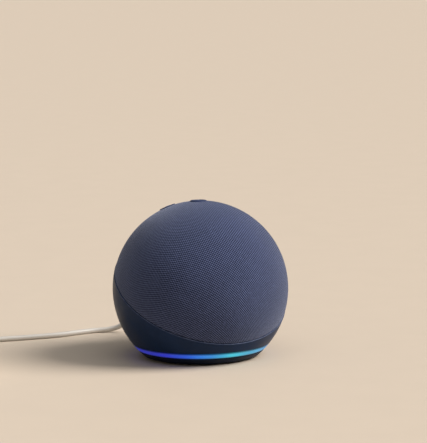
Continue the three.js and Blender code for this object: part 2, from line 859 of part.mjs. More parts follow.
function buildChamber() {
  const cup = turned(
    [
      [0, chamberBack],
      [chamberRadius, chamberBack],
      [chamberRadius, chamberFront],
      [chamberMouth, chamberFront],
      [chamberMouth, chamberFront - chamberWall],
      [chamberRadius - chamberWall, chamberFront - chamberWall],
      [chamberRadius - chamberWall, chamberBack + chamberWall],
      [0, chamberBack + chamberWall],
    ],
    chamberFacets,
  );
  const bosses = earPlaces.map(([x, y]) => {
    return rod(chamberBossRadius, flangeBack - 12, flangeBack - gap).translate(x, y, 0);
  });
  const bores = earPlaces.map(([x, y]) => {
    return rod(screwBore, flangeBack - 10, flangeBack).translate(x, y, 0);
  });
  const leadHole = rod(1.4, chamberBack - 1, chamberBack + chamberWall + 1).translate(leadX, 0, 0);
  const chamber = shaped([cup, ...bosses], [...bores, leadHole]);
  add(front, "acoustic_chamber", chamber, finishes.blackPlastic);

  const lead = cable(
    [
      [17.3, 0, basketFloor + 3],
      [19, 0, basketFloor],
      [leadX, 0, basketFloor - 6],
      [leadX, 0, 0],
      [leadX, 0, -boardFront + gap],
    ],
    0.8,
    6,
    14,
  );
  add(front, "speaker_lead", lead, finishes.copper);
}

// ---- Crown -------------------------------------------------------------------------------------

function buildCrown() {
  const buttonTop = fabricOuter + buttonProud;
  for (const [name, [x, y]] of Object.entries(buttonPlaces)) {
    const body = turned(
      [
        [0, stemBottom],
        [stemRadius, stemBottom],
        [stemRadius, flangeBottom],
        [flangeRadiusOfButton, flangeBottom],
        [flangeRadiusOfButton, flangeTop],
        [buttonRadius, flangeTop],
        [buttonRadius, ballRadius + 3],
        [0, ballRadius + 3],
      ],
      roundFacets,
    ).translate(x, y, 0);
    const reach = 3 * buttonRadius;
    const cap = turned(
      [[0, stemBottom - 6], [reach, stemBottom - 6], ...arc(buttonTop, radiusOf(buttonTop, reach), buttonTop, 3)],
      smallFacets,
    );
    const lean = Math.asin(buttonCircle / buttonTop);
    cap.applyMatrix4(
      new THREE.Matrix4().makeRotationAxis(new THREE.Vector3(-y, x, 0).normalize(), lean),
    );
    add(crown, name, common(body, cap), finishes.button);
  }

  const guidePlate = rod(guideRadius, guideBottom, guideTop, 24);
  const posts = around(4, guidePostCircle, 45).map(([x, y]) => {
    return rod(postRadius, topBoardTop + gap, guideBottom + 1).translate(x, y, 0);
  });
  const guideBores = Object.values(buttonPlaces).map(([x, y]) => {
    return rod(stemRadius + gap, guideBottom - 1, guideTop + 1, roundFacets).translate(x, y, 0);
  });
  const centreBore = rod(screwBore, topBoardBottom - 1, guideTop + 1);
  const guide = shaped([guidePlate, ...posts], [...guideBores, centreBore]);
  add(crown, "button_guide", guide, finishes.blackPlastic);

  const boardDisc = rod(topBoardRadius, topBoardBottom, topBoardTop, 24);
  add(crown, "top_board", shaped([boardDisc], [centreBore]), finishes.board);

  Object.values(buttonPlaces).forEach(([x, y], i) => {
    const body = block(about(x, switchSize), about(y, switchSize), [switchBottom, switchTop]);
    const plunger = rod(plungerRadius, switchTop - 0.5, plungerTop).translate(x, y, 0);
    add(crown, `switch_${i + 1}`, shaped([body, plunger]), finishes.blackPlastic);
  });

  around(3, microphoneCircle, 75).forEach(([x, y, angle], i) => {
    const can = block(about(0, 2.6), about(0, 3.5), slab(1, topBoardTop + gap));
    add(crown, `microphone_${i + 1}`, can.rotateZ(angle).translate(x, y, 0), finishes.steel);
  });

  const fastener = screw(guideTop + 4 - topBoardBottom).translate(0, 0, topBoardBottom - gap);
  add(crown, "crown_screw", fastener, finishes.steel);
}

// ---- Supply jack, plug, lead and adapter -------------------------------------------------------

function buildJack() {
  const body = block(
    about(0, jackWidth),
    [jackMouth - jackLength, jackMouth],
    about(jackHeight, jackBodyHeight),
  );
  const socket = rodAlongY(
    barrelRadius + gap,
    0,
    jackHeight,
    jackMouth - barrelLength,
    jackMouth + 1,
    roundFacets,
  );
  const pin = rodAlongY(pinRadius, 0, jackHeight, jackMouth - barrelLength - 1, jackMouth - 2);
  add(speaker, "power_jack", shaped([shaped([body], [socket]), pin]), finishes.blackPlastic);
}

function buildPlug() {
  const faceY = pocketFloor + gap;
  const grommetEnd = faceY + grommetLength;
  const barrelTip = jackMouth - barrelLength + 1;
  const sleeve = tube(barrelRadius, pinRadius + gap, barrelTip, faceY + 1);
  const grommet = turned([
    [0, faceY],
    [grommetRadius - 0.5, faceY],
    [grommetRadius, faceY + 0.6],
    [grommetRadius, grommetEnd - 2],
    [reliefRadius, grommetEnd],
    [0, grommetEnd],
  ]);
  const plug = shaped([grommet, sleeve]).rotateX(-Math.PI / 2).translate(0, 0, jackHeight);
  add(speaker, "power_plug", plug, finishes.whitePlastic);

  const reliefStart = grommetEnd + gap;
  const reliefEnd = reliefStart + reliefLength;
  const ribs = 4;
  const ribPitch = reliefLength / ribs;
  const grooveWidth = 0.8;
  const grooveDepth = 0.5;
  const outline = [[0, reliefStart]];
  for (let rib = 0; rib < ribs; rib++) {
    const start = reliefStart + rib * ribPitch;
    const radius = reliefRadius - ((reliefRadius - cordRadius - grooveDepth) * rib) / ribs;
    const groove = start + ribPitch - grooveWidth;
    outline.push([radius, start], [radius, groove]);
    outline.push([radius - grooveDepth, groove], [radius - grooveDepth, start + ribPitch]);
  }
  outline.push([0, reliefEnd]);
  const relief = turned(outline, smallFacets).rotateX(-Math.PI / 2).translate(0, 0, jackHeight);
  add(speaker, "strain_relief", relief, finishes.lead);
}

function buildLead() {
  add(speaker, "power_cord", cable(cordRoute, cordRadius, 8, 24), finishes.lead);

  const [x, y] = coilCentre;
  const halfWidth = ((coilColumns - 1) * coilPitch) / 2 + cordRadius;
  const height = (coilRows - 1) * coilPitch + 2 * cordRadius;
  const ringGeometry = tube(coilMeanRadius + halfWidth, coilMeanRadius - halfWidth, 0, height, 24);
  add(speaker, "cord_coil", ringGeometry.translate(x, y, 0), finishes.lead);

  const clipY = about(0, clipLength);
  const clipX = [coilMeanRadius - halfWidth - gap, coilMeanRadius + halfWidth + 2 * gap];
  const clipBody = block(
    [clipX[0] - clipThickness, clipX[1] + clipThickness],
    clipY,
    [2, height + gap + clipThickness],
  );
  const clipHollow = block(clipX, about(0, clipLength + 2), [0, height + gap]);
  const ringClearance = tube(coilMeanRadius + halfWidth + gap, coilMeanRadius - halfWidth - gap, 0, height + gap, 24);
  const clip = shaped([clipBody], [clipHollow, ringClearance]);
  add(speaker, "cord_clip", clip.translate(x, y, 0), finishes.blackPlastic);
}

function buildAdapter() {
  const [width, length, height] = adapterSize;
  const outerTurn = coilMeanRadius + ((coilColumns - 1) * coilPitch) / 2;
  const ringOuter = outerTurn + cordRadius;
  const x = coilCentre[0] - outerTurn;
  const reliefTip = coilCentre[1] - radiusOf(ringOuter + cordRadius + 2 * gap, outerTurn) - gap;
  const bodyBack = reliefTip - reliefLength;
  const outletHeight = (coilRows - 1) * coilPitch + cordRadius;
  const corner = 3;
  const outline = new THREE.Shape();
  const right = width / 2 - corner;
  const top = height - corner;
  outline.absarc(right, corner, corner, -Math.PI / 2, 0);
  outline.absarc(right, top, corner, 0, Math.PI / 2);
  outline.absarc(-right, top, corner, Math.PI / 2, Math.PI);
  outline.absarc(-right, corner, corner, Math.PI, 1.5 * Math.PI);
  const body = new THREE.ExtrudeGeometry(outline, {
    depth: length,
    bevelEnabled: false,
    curveSegments: 4,
  });
  body.rotateX(Math.PI / 2).translate(x, bodyBack, 0);
  const relief = turned(
    [
      [0, bodyBack - 1],
      [reliefRadius, bodyBack - 1],
      [cordRadius + 0.5, reliefTip],
      [0, reliefTip],
    ],
    smallFacets,
  );
  relief.rotateX(-Math.PI / 2).translate(x, 0, outletHeight);
  const bladeFront = bodyBack - length + bladeSocket;
  const [bladeThick, bladeLength, bladeHeight] = bladeSize;
  const bladeAt = (side, margin) =>
    block(
      about(x + (side * bladeSpacing) / 2, bladeThick + 2 * margin),
      [bladeFront - bladeLength - bladeSocket, bladeFront + margin],
      about(height / 2, bladeHeight + 2 * margin),
    );
  const sockets = [-1, 1].map((side) => bladeAt(side, gap));
  add(speaker, "wall_adapter", shaped([body, relief], sockets), finishes.whitePlastic);
  [-1, 1].forEach((side, i) => {
    add(speaker, `adapter_blade_${i + 1}`, bladeAt(side, 0), finishes.steel);
  });
}

buildDome();
buildHousing();
buildBase();
buildRingBoard();
buildCoreFrame();
buildMainBoard();
buildRibbons();
buildDriver();
buildChamber();
buildCrown();
buildJack();
buildPlug();
buildLead();
buildAdapter();

export default speaker;
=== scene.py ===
"""Looks of a ball-shaped smart speaker, its works and its supply lead.

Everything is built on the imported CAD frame, in millimetres of the object's frame.
"""

import json
import logging
import math
from dataclasses import dataclass
from enum import Enum
from typing import Sequence

import bmesh
import bpy
from mathutils import Matrix, Vector
from mathutils.geometry import delaunay_2d_cdt


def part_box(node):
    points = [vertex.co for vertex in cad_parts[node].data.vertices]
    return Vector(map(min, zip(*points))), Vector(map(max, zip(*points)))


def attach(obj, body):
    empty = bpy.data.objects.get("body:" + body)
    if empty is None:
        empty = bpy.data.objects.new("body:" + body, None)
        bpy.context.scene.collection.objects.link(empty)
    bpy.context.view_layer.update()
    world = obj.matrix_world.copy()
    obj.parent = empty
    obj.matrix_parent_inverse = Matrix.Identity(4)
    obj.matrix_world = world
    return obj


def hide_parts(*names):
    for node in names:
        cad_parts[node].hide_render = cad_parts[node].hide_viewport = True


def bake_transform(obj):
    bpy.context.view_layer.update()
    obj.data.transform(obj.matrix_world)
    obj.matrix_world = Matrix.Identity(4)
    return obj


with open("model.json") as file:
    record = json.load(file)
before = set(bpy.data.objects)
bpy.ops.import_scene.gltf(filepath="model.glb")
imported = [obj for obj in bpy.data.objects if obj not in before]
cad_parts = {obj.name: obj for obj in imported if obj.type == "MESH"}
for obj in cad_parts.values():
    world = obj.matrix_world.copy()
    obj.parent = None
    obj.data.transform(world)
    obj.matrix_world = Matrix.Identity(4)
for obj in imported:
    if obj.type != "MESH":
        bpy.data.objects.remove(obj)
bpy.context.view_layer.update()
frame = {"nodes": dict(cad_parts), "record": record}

MM = 0.001
log = logging.getLogger("speaker")

Points = list[Vector]
Faces = list[tuple[int, ...]]
Profile = list[tuple[float, float]]

RIGHT = Vector((1, 0, 0))
BACK = Vector((0, 1, 0))
UP = Vector((0, 0, 1))


# Frames of the parts


@dataclass(frozen=True)
class Axes:
    """A right-handed frame in which a part is drawn, in millimetres."""

    origin: Vector
    x: Vector
    z: Vector

    @property
    def y(self) -> Vector:
        """The second axis."""
        return self.z.cross(self.x)

    def at(self, x: float, y: float, z: float) -> Vector:
        """Returns the point with these coordinates, in the object's frame."""
        return self.origin + self.x * x + self.y * y + self.z * z

    def along(self, point: Vector) -> Vector:
        """Returns the coordinates that a point of the object has in this frame."""
        local = point - self.origin
        return Vector((local.dot(self.x), local.dot(self.y), local.dot(self.z)))

    def moved(self, x: float, y: float, z: float = 0.0) -> "Axes":
        """Returns this frame with its origin moved along its own axes."""
        return Axes(self.at(x, y, z), self.x, self.z)


def box_mm(node: str) -> tuple[Vector, Vector]:
    """Returns a CAD node's lowest and highest corners in millimetres."""
    low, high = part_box(node)
    return low / MM, high / MM


@dataclass(frozen=True)
class Ball:
    """The ball that the fabric, the housing, the light ring and the base share, in millimetres."""

    radius: float = 50.0
    cut: float = 11.5
    dome_tilt: float = 29.5
    crown_tilt: float = 17.0
    seam: float = -0.8
    gap: float = 0.3
    housing_wall: float = 2.2
    fabric_inset: float = 0.25
    fabric_thickness: float = 1.1
    ring_top: float = 7.3

    @property
    def centre(self) -> Vector:
        """The ball's middle."""
        return Vector((0.0, 0.0, self.radius - self.cut))

    @property
    def fabric_radius(self) -> float:
        """The outer radius of the fabric."""
        return self.radius - self.fabric_inset

    def leaning(self, forward: float) -> Axes:
        """Returns a frame at the ball's middle whose Z leans forward by this many degrees."""
        lean = math.radians(forward)
        return Axes(self.centre, RIGHT, Vector((0, -math.sin(lean), math.cos(lean))))

    @property
    def dome(self) -> Axes:
        """The frame of the fabric dome."""
        return self.leaning(self.dome_tilt)

    @property
    def crown(self) -> Axes:
        """The frame of the keys."""
        return self.leaning(-self.crown_tilt)

    @property
    def back(self) -> Axes:
        """The frame of the supply jack, whose Z points back, at the ball's middle."""
        return self.leaning(-90.0)

    def level(self, height: float, radius: float | None = None) -> float:
        """Returns the radius of the ball's level circle at a height above the table."""
        return math.sqrt((radius or self.radius) ** 2 - (height - self.centre.z) ** 2)

    def outline(self, bottom: float, top: float, steps: int) -> Profile:
        """Returns the ball's outline between two heights, as (radius, height).

        Args:
            bottom: The lower height.
            top: The upper height.
            steps: How many steps lie between them.

        Returns:
            The outline from the bottom up.
        """
        heights = [bottom + (top - bottom) * i / steps for i in range(steps + 1)]
        return [(self.level(height), height) for height in heights]


BALL = Ball()
GROUND = Axes(Vector((0, 0, 0)), RIGHT, UP)


def lengthwise(x: float, y: float, z: float) -> Axes:
    """Returns a frame at a point whose Z runs back, along the lead."""
    return Axes(Vector((x, y, z)), RIGHT, BACK)


class Body(Enum):
    """The moving bodies of the CAD frame."""

    SPEAKER = "speaker"
    ACTION = "action_key"
    VOLUME_UP = "volume_up_key"
    MIC_OFF = "mic_off_key"
    VOLUME_DOWN = "volume_down_key"
    DIAPHRAGM = "diaphragm"
    LEAD = "supply_lead"


# Shader expressions


class Value:
    """A number, vector or colour that comes out of a node, with arithmetic that adds nodes."""

    def __init__(self, shader: "Shader", socket: bpy.types.NodeSocket) -> None:
        """Wraps a socket of a shader's node tree."""
        self.shader = shader
        self.socket = socket

    def _math(self, operation: str, *terms: "Value | float") -> "Value":
        """Returns the result of a Math node on these terms."""
        settings = {"operation": operation}
        return self.shader.node("ShaderNodeMath", settings, dict(enumerate(terms)))

    def __add__(self, other: "Value | float") -> "Value":
        """Returns the sum."""
        return self._math("ADD", self, other)

    def __radd__(self, other: float) -> "Value":
        """Returns the sum with a number on the left."""
        return self._math("ADD", other, self)

    def __sub__(self, other: "Value | float") -> "Value":
        """Returns the difference."""
        return self._math("SUBTRACT", self, other)

    def __rsub__(self, other: float) -> "Value":
        """Returns the difference from a number."""
        return self._math("SUBTRACT", other, self)

    def __mul__(self, other: "Value | float") -> "Value":
        """Returns the product."""
        return self._math("MULTIPLY", self, other)

    def __rmul__(self, other: float) -> "Value":
        """Returns the product with a number on the left."""
        return self._math("MULTIPLY", other, self)

    def __truediv__(self, other: "Value | float") -> "Value":
        """Returns the quotient."""
        return self._math("DIVIDE", self, other)

    def __pow__(self, other: float) -> "Value":
        """Returns the power."""
        return self._math("POWER", self, other)

    def __abs__(self) -> "Value":
        """Returns the size without the sign."""
        return self._math("ABSOLUTE", self)

    def wave(self) -> "Value":
        """Returns the cosine of this many whole turns."""
        return self._math("COSINE", self * math.tau)

    def angle_from(self, other: "Value") -> "Value":
        """Returns the angle whose tangent is this over the other, in radians."""
        return self._math("ARCTAN2", self, other)

    def largest(self, other: "Value | float") -> "Value":
        """Returns the larger of two."""
        return self._math("MAXIMUM", self, other)

    def fraction(self) -> "Value":
        """Returns the part after the decimal point."""
        return self._math("FRACT", self)

    def eased(self, start: float, end: float, low: float = 0.0, high: float = 1.0) -> "Value":
        """Returns a smooth step from low at start to high at end.

        Args:
            start: Where the step starts.
            end: Where it ends.
            low: The result before the start.
            high: The result after the end.

        Returns:
            The eased value.
        """
        sockets = {"Value": self, "From Min": start, "From Max": end, "To Min": low, "To Max": high}
        settings = {"interpolation_type": "SMOOTHSTEP"}
        return self.shader.node("ShaderNodeMapRange", settings, sockets)


Colour = tuple[float, float, float]


class Shader:
    """A material under construction."""

    def __init__(self, name: str) -> None:
        """Starts an empty material with this name.

        Args:
            name: The material's name.
        """
        self.material = bpy.data.materials.new(name)
        self.material.use_nodes = True
        self.tree = self.material.node_tree
        self.tree.nodes.clear()

    def node(
        self,
        kind: str,
        settings: dict[str, object] | None = None,
        sockets: dict[str | int, object] | None = None,
        output: str | int = 0,
    ) -> Value:
        """Adds a node.

        Args:
            kind: The node's type.
            settings: Its properties, or a colour ramp's stops under "stops".
            sockets: Values or links of its inputs, by name or number.
            output: The output to return.

        Returns:
            The output as a value.
        """
        made = self.tree.nodes.new(kind)
        for key, setting in (settings or {}).items():
            if key == "stops":
                self._set_stops(made.color_ramp, setting)
            else:
                setattr(made, key, setting)
        for key, entry in (sockets or {}).items():
            self._feed(made.inputs[key], entry)
        return Value(self, made.outputs[output])

    def _set_stops(self, ramp: bpy.types.ColorRamp, stops: Sequence[tuple[float, Colour]]) -> None:
        """Sets a ramp's stops from pairs of position and colour.

        Args:
            ramp: The ramp.
            stops: Pairs of position and colour.
        """
        while len(ramp.elements) < len(stops):
            ramp.elements.new(0.5)
        for element, (position, colour) in zip(ramp.elements, stops):
            element.position = position
            element.color = (*colour, 1.0)

    def _feed(self, socket: bpy.types.NodeSocket, entry: object) -> None:
        """Links a value to a socket, or sets the socket's own value.

        Args:
            socket: The input.
            entry: A value to link, or a number, vector or colour.
        """
        if isinstance(entry, Value):
            self.tree.links.new(entry.socket, socket)
        elif isinstance(entry, tuple) and socket.type == "RGBA":
            socket.default_value = (*entry[:3], 1.0)
        else:
            socket.default_value = entry

    def place(self) -> Value:
        """Returns the point on the object, in millimetres of the object's frame."""
        point = self.node("ShaderNodeTexCoord", output="Object")
        return self.vector("SCALE", point, scale=1 / MM)

    def vector(
        self,
        operation: str,
        first: Value | tuple[float, float, float],
        second: Value | tuple[float, float, float] = (0.0, 0.0, 0.0),
        scale: float = 1.0,
    ) -> Value:
        """Returns the result of a Vector Math node, which is a number for products and lengths.

        Args:
            operation: The node's operation.
            first: The first vector.
            second: The second vector, where the operation has one.
            scale: The factor of a SCALE.

        Returns:
            The result.
        """
        sockets: dict[str | int, object] = {0: first}
        if operation == "SCALE":
            sockets["Scale"] = scale
        elif operation != "LENGTH":
            sockets[1] = second
        output = "Value" if operation in ("DOT_PRODUCT", "LENGTH", "DISTANCE") else "Vector"
        return self.node("ShaderNodeVectorMath", {"operation": operation}, sockets, output)

    def along(self, point: Value, direction: Vector) -> Value:
        """Returns how far a point lies along a direction."""
        return self.vector("DOT_PRODUCT", point, tuple(direction))

    def combined(self, x: Value | float, y: Value | float, z: Value | float = 0.0) -> Value:
        """Returns a vector made of three numbers."""
        return self.node("ShaderNodeCombineXYZ", {}, {0: x, 1: y, 2: z})

    def noise(self, point: Value, period: float, detail: float = 2.0, rough: float = 0.5) -> Value:
        """Returns noise from 0 to 1 whose features are about a period wide."""
        sockets = {"Vector": point, "Scale": 1 / period, "Detail": detail, "Roughness": rough}
        return self.node("ShaderNodeTexNoise", {}, sockets, "Fac")

    def grains(self, point: Value, period: float) -> Value:
        """Returns the distance to the nearest of many scattered points, for pebbled surfaces."""
        sockets = {"Vector": point, "Scale": 1 / period}
        return self.node("ShaderNodeTexVoronoi", {"feature": "F1"}, sockets, "Distance")

    def mixed(self, share: Value | float, first: Value | Colour, second: Value | Colour) -> Value:
        """Returns a colour between two."""
        sockets = {0: share, 6: first, 7: second}
        return self.node("ShaderNodeMix", {"data_type": "RGBA"}, sockets, 2)

    def bumped(self, height: Value, depth: float) -> Value:
        """Returns the normal of a surface with this relief.

        Args:
            height: The relief, from 0 to 1.
            depth: The depth of a relief of 1, in millimetres.

        Returns:
            The normal.
        """
        sockets = {"Height": height, "Distance": depth * MM, "Strength": 1.0}
        return self.node("ShaderNodeBump", {}, sockets, "Normal")

    def finished(self, **sockets: object) -> bpy.types.Material:
        """Closes the material with a Principled surface.

        Args:
            sockets: The surface's inputs, named with underscores.

        Returns:
            The finished material.
        """
        named = {key.replace("_", " ").title(): entry for key, entry in sockets.items()}
        named = {key.replace("Ior", "IOR"): entry for key, entry in named.items()}
        surface = self.node("ShaderNodeBsdfPrincipled", {}, named)
        output = self.tree.nodes.new("ShaderNodeOutputMaterial")
        self.tree.links.new(surface.socket, output.inputs["Surface"])
        return self.material


def scaled(colour: Colour, factor: float) -> Colour:
    """Returns a colour made lighter or darker by a factor."""
    return (colour[0] * factor, colour[1] * factor, colour[2] * factor)


# Finishes


@dataclass(frozen=True)
class Knit:
    """The knitted fabric of the dome: staggered stitches drawn tight over the ball, with painted
    shade in the hollows between them.
    """

    thread: Colour = (0.088, 0.110, 0.215)
    # Painted shade: the dark colour of the hollows between the stitches.
    valley_shade: Colour = (0.0050, 0.009, 0.030)
    across: float = 0.602
    down: float = 0.659
    depth: float = 0.16
    filament: float = 4.6

    def build(self) -> bpy.types.Material:
        """Returns the material.

        Returns:
            The finished fabric.
        """
        shader = Shader("knitted_fabric")
        point = shader.place()
        local = shader.vector("SUBTRACT", point, tuple(BALL.centre))
        axes = BALL.dome
        x, y, z = (shader.along(local, axis) for axis in (axes.x, axes.y, axes.z))
        reach = ((x * x) + (y * y)).largest(1e-4) ** 0.5
        spread = reach.angle_from(z) * BALL.fabric_radius / reach
        sway = (shader.noise(point, 9.0) - 0.5) * 0.12
        wale = x * spread * self.across + sway
        course = y * spread * self.down + sway
        stitch = wale.wave() * course.wave() * 0.5 + 0.5
        twist = (wale * self.filament + course * 1.7).wave() * 0.5 + 0.5
        loop = stitch.eased(0.20, 0.90)
        strand = shader.noise(point, 0.22, 3.0, 0.6)
        relief = loop * 0.8 + twist * loop * 0.1 + strand * 0.1
        heather = shader.noise(point, 1.4, 3.0, 0.65).eased(0.25, 0.75, 0.86, 1.16)
        cloud = shader.noise(point, 24.0).eased(0.3, 0.7, 0.95, 1.05)
        dull, keen = scaled(self.thread, 0.82), scaled(self.thread, 1.28)
        bright = shader.mixed(strand.eased(0.35, 0.75), dull, keen)
        # The yarn's colour, with painted shade in the hollows between the stitches.
        yarn = shader.mixed(loop, self.valley_shade, bright)
        tone = heather * cloud
        colour = shader.vector("MULTIPLY", yarn, shader.combined(tone, tone, tone))
        return shader.finished(
            base_color=colour,
            roughness=loop.eased(0.0, 1.0, 0.98, 0.86),
            sheen_weight=0.42,
            sheen_roughness=0.42,
            sheen_tint=(0.62, 0.68, 0.85, 1.0),
            specular_ior_level=0.16,
            normal=shader.bumped(relief, self.depth),
        )


@dataclass(frozen=True)
class Moulded:
    """A moulded plastic or rubber with a fine spark-eroded grain."""

    name: str
    colour: Colour
    roughness: float = 0.5
    grain: float = 0.28
    depth: float = 0.012
    mottle: float = 0.10
    specular: float = 0.5
    coat: float = 0.0

    def build(self) -> bpy.types.Material:
        """Returns the material.

        Returns:
            The finished material.
        """
        shader = Shader(self.name)
        point = shader.place()
        pits = shader.grains(point, self.grain).eased(0.05, 0.75)
        fine = shader.noise(point, self.grain * 0.6, 3.0, 0.6)
        relief = pits * 0.6 + fine * 0.4
        handled = shader.noise(point, 11.0, 4.0, 0.55)
        dark, light = (scaled(self.colour, 1.0 + way * self.mottle) for way in (-1, 1))
        colour = shader.mixed(handled.eased(0.3, 0.7), dark, light)
        smear = handled.eased(0.35, 0.75, -0.06, 0.06) + fine * 0.08 + self.roughness - 0.04
        return shader.finished(
            base_color=colour,
            roughness=smear,
            specular_ior_level=self.specular,
            coat_weight=self.coat,
            normal=shader.bumped(relief, self.depth),
        )


@dataclass(frozen=True)
class Housing:
    """The satin rear housing, with a highlight painted along its lip and its lower edge, where it
    is also a little polished.
    """

    colour: Colour = (0.0045, 0.0175, 0.056)
    # The colour of the highlight painted along the lip.
    lip_highlight_colour: Colour = (0.16, 0.19, 0.32)
    roughness: float = 0.43
    grain: float = 0.34
    depth: float = 0.010

    def build(self) -> bpy.types.Material:
        """Returns the material.

        Returns:
            The finished material.
        """
        shader = Shader("housing_plastic")
        point = shader.place()
        local = shader.vector("SUBTRACT", point, tuple(BALL.centre))
        pits = shader.grains(point, self.grain).eased(0.05, 0.75)
        fine = shader.noise(point, self.grain * 0.5, 3.0, 0.6)
        handled = shader.noise(point, 13.0, 4.0, 0.55)
        below_lip = BALL.seam - shader.along(local, BALL.dome.z)
        outside = shader.vector("LENGTH", local).eased(BALL.radius - 0.5, BALL.radius - 0.1)
        # Painted highlight along the outside of the lip, in patches; the same mask also makes the
        # lip a little smoother.
        lip_patchiness = shader.noise(point, 2.6, 3.0, 0.7).eased(0.35, 0.7, 0.35, 1.0)
        lip_highlight_and_polish = below_lip.eased(0.05, 0.6, 1.0, 0.0) * outside * lip_patchiness
        dark, light = scaled(self.colour, 0.88), scaled(self.colour, 1.14)
        satin = shader.mixed(handled.eased(0.3, 0.7), dark, light)
        # Painted highlight: the lip is lightened towards a pale colour.
        colour = shader.mixed(lip_highlight_and_polish * 0.6, satin, self.lip_highlight_colour)
        rough = handled.eased(0.35, 0.75, -0.05, 0.05) + fine * 0.08 + (self.roughness - 0.04)
        return shader.finished(
            base_color=colour,
            roughness=rough - lip_highlight_and_polish * 0.12,
            specular_ior_level=0.13,
            normal=shader.bumped(pits * 0.6 + fine * 0.4, self.depth),
        )


@dataclass(frozen=True)
class LightGuide:
    """The lit diffuser ring, whose light turns from indigo through blue to cyan round the front."""

    strength: float = 0.9
    lamps: float = 12.0

    def build(self) -> bpy.types.Material:
        """Returns the material.

        Returns:
            The finished material.
        """
        shader = Shader("light_guide")
        point = shader.place()
        x, y, z = (shader.along(point, axis) for axis in (RIGHT, BACK, UP))
        low, _ = box_mm("light_ring")
        turn = x.angle_from(0.0 - y) / math.tau + 0.5
        stops = [
            (0.00, (0.006, 0.020, 0.30)),
            (0.22, (0.012, 0.016, 0.34)),
            (0.335, (0.020, 0.026, 0.52)),
            (0.385, (0.004, 0.085, 0.70)),
            (0.44, (0.004, 0.25, 0.74)),
            (0.492, (0.012, 0.560, 0.68)),
            (0.545, (0.010, 0.400, 0.64)),
            (0.64, (0.012, 0.190, 0.50)),
            (0.78, (0.010, 0.070, 0.42)),
            (1.00, (0.006, 0.020, 0.30)),
        ]
        glow = shader.node("ShaderNodeValToRGB", {"stops": stops}, {"Fac": turn}, "Color")
        face_middle, half = (low.z + BALL.ring_top) / 2, (BALL.ring_top - low.z) / 2
        off_middle = abs(z - face_middle) / half
        veil = off_middle.eased(0.35, 1.05, 1.0, 0.30)
        lamp = ((turn * self.lamps).wave() * 0.5 + 0.5) * 0.10 + 0.92
        frost = shader.noise(point, 0.5, 3.0, 0.6)
        level = veil * lamp * frost.eased(0.2, 0.8, 0.94, 1.04)
        lit = shader.vector("MULTIPLY", glow, shader.combined(level, level, level))
        milky = shader.mixed(frost.eased(0.3, 0.7), (0.035, 0.05, 0.09), (0.05, 0.07, 0.12))
        return shader.finished(
            base_color=milky,
            roughness=frost.eased(0.2, 0.8, 0.30, 0.42),
            emission_color=lit,
            emission_strength=self.strength,
            normal=shader.bumped(frost, 0.006),
        )


@dataclass(frozen=True)
class Metal:
    """A plated or turned metal with fine tool marks."""

    name: str
    colour: Colour
    roughness: float = 0.32
    marks: float = 0.08
    lay: tuple[float, float, float] = (1.0, 1.0, 14.0)
    metallic: float = 1.0

    def build(self) -> bpy.types.Material:
        """Returns the material.

        Returns:
            The finished material.
        """
        shader = Shader(self.name)
        point = shader.place()
        drawn = shader.vector("MULTIPLY", point, self.lay)
        lines = shader.noise(drawn, 1.6, 4.0, 0.7)
        stain = shader.noise(point, 5.0, 3.0, 0.5)
        colour = shader.mixed(stain.eased(0.35, 0.7), self.colour, scaled(self.colour, 0.8))
        smooth_end, rough_end = self.roughness - self.marks, self.roughness + self.marks
        return shader.finished(
            base_color=colour,
            metallic=self.metallic,
            roughness=lines.eased(0.3, 0.7, smooth_end, rough_end),
            normal=shader.bumped(lines, 0.006),
        )


@dataclass(frozen=True)
class Pulp:
    """Pressed paper or woven cloth, for the cone, the gasket and the spider."""

    name: str
    colour: Colour
    fibre: float = 0.5
    weave: float = 0.0

    def build(self) -> bpy.types.Material:
        """Returns the material.

        Returns:
            The finished material.
        """
        shader = Shader(self.name)
        point = shader.place()
        pressed = shader.vector("MULTIPLY", point, (1.0, 2.2, 1.0))
        fibres = shader.noise(pressed, self.fibre, 5.0, 0.7)
        relief = fibres
        if self.weave:
            x, z = (shader.along(point, axis) / self.weave for axis in (RIGHT, UP))
            relief = (x.wave() * z.wave() * 0.5 + 0.5) * 0.8 + fibres * 0.2
        # Darker where the relief is low: on paper the fibres' own tone, on woven cloth painted
        # shade between the threads.
        dark, light = scaled(self.colour, 0.72), scaled(self.colour, 1.2)
        colour = shader.mixed(relief.eased(0.25, 0.75), dark, light)
        return shader.finished(
            base_color=colour,
            roughness=relief.eased(0.2, 0.8, 0.94, 0.82),
            normal=shader.bumped(relief, 0.08),
        )


@dataclass(frozen=True)
class Board:
    """A printed circuit board: solder mask over copper tracks, with tinned pads."""

    mask: Colour = (0.006, 0.060, 0.030)
    track: Colour = (0.014, 0.110, 0.050)
    tin: Colour = (0.62, 0.61, 0.56)
    pitch: float = 1.27

    def build(self) -> bpy.types.Material:
        """Returns the material.

        Returns:
            The finished material.
        """
        shader = Shader("circuit_board")
        point = shader.place()
        x, y, z = (shader.along(point, axis) for axis in (RIGHT, BACK, UP))
        across = x / self.pitch
        down = (z + y) / self.pitch
        lane = shader.noise(shader.combined(across * 0.35, down * 0.06), 0.5, 1.0)
        cross = shader.noise(shader.combined(across * 0.06, down * 0.35), 0.5, 1.0)
        down_tracks, cross_tracks = (
            abs(place.fraction() - 0.5).eased(0.10, 0.16, 1.0, 0.0) * chosen.eased(0.5, 0.56)
            for place, chosen in ((across, lane), (down, cross))
        )
        tracks = down_tracks.largest(cross_tracks)
        away = ((across.fraction() - 0.5) ** 2.0 + (down.fraction() - 0.5) ** 2.0) ** 0.5
        chosen = shader.noise(shader.combined(across, down), 3.0, 0.0).eased(0.60, 0.62)
        pads = away.eased(0.20, 0.24, 1.0, 0.0) * chosen
        lacquer = shader.mixed(tracks, self.mask, self.track)
        colour = shader.mixed(pads, lacquer, self.tin)
        return shader.finished(
            base_color=colour,
            roughness=pads.eased(0.0, 1.0, 0.34, 0.28),
            metallic=pads,
            normal=shader.bumped(tracks.largest(pads), 0.035),
        )


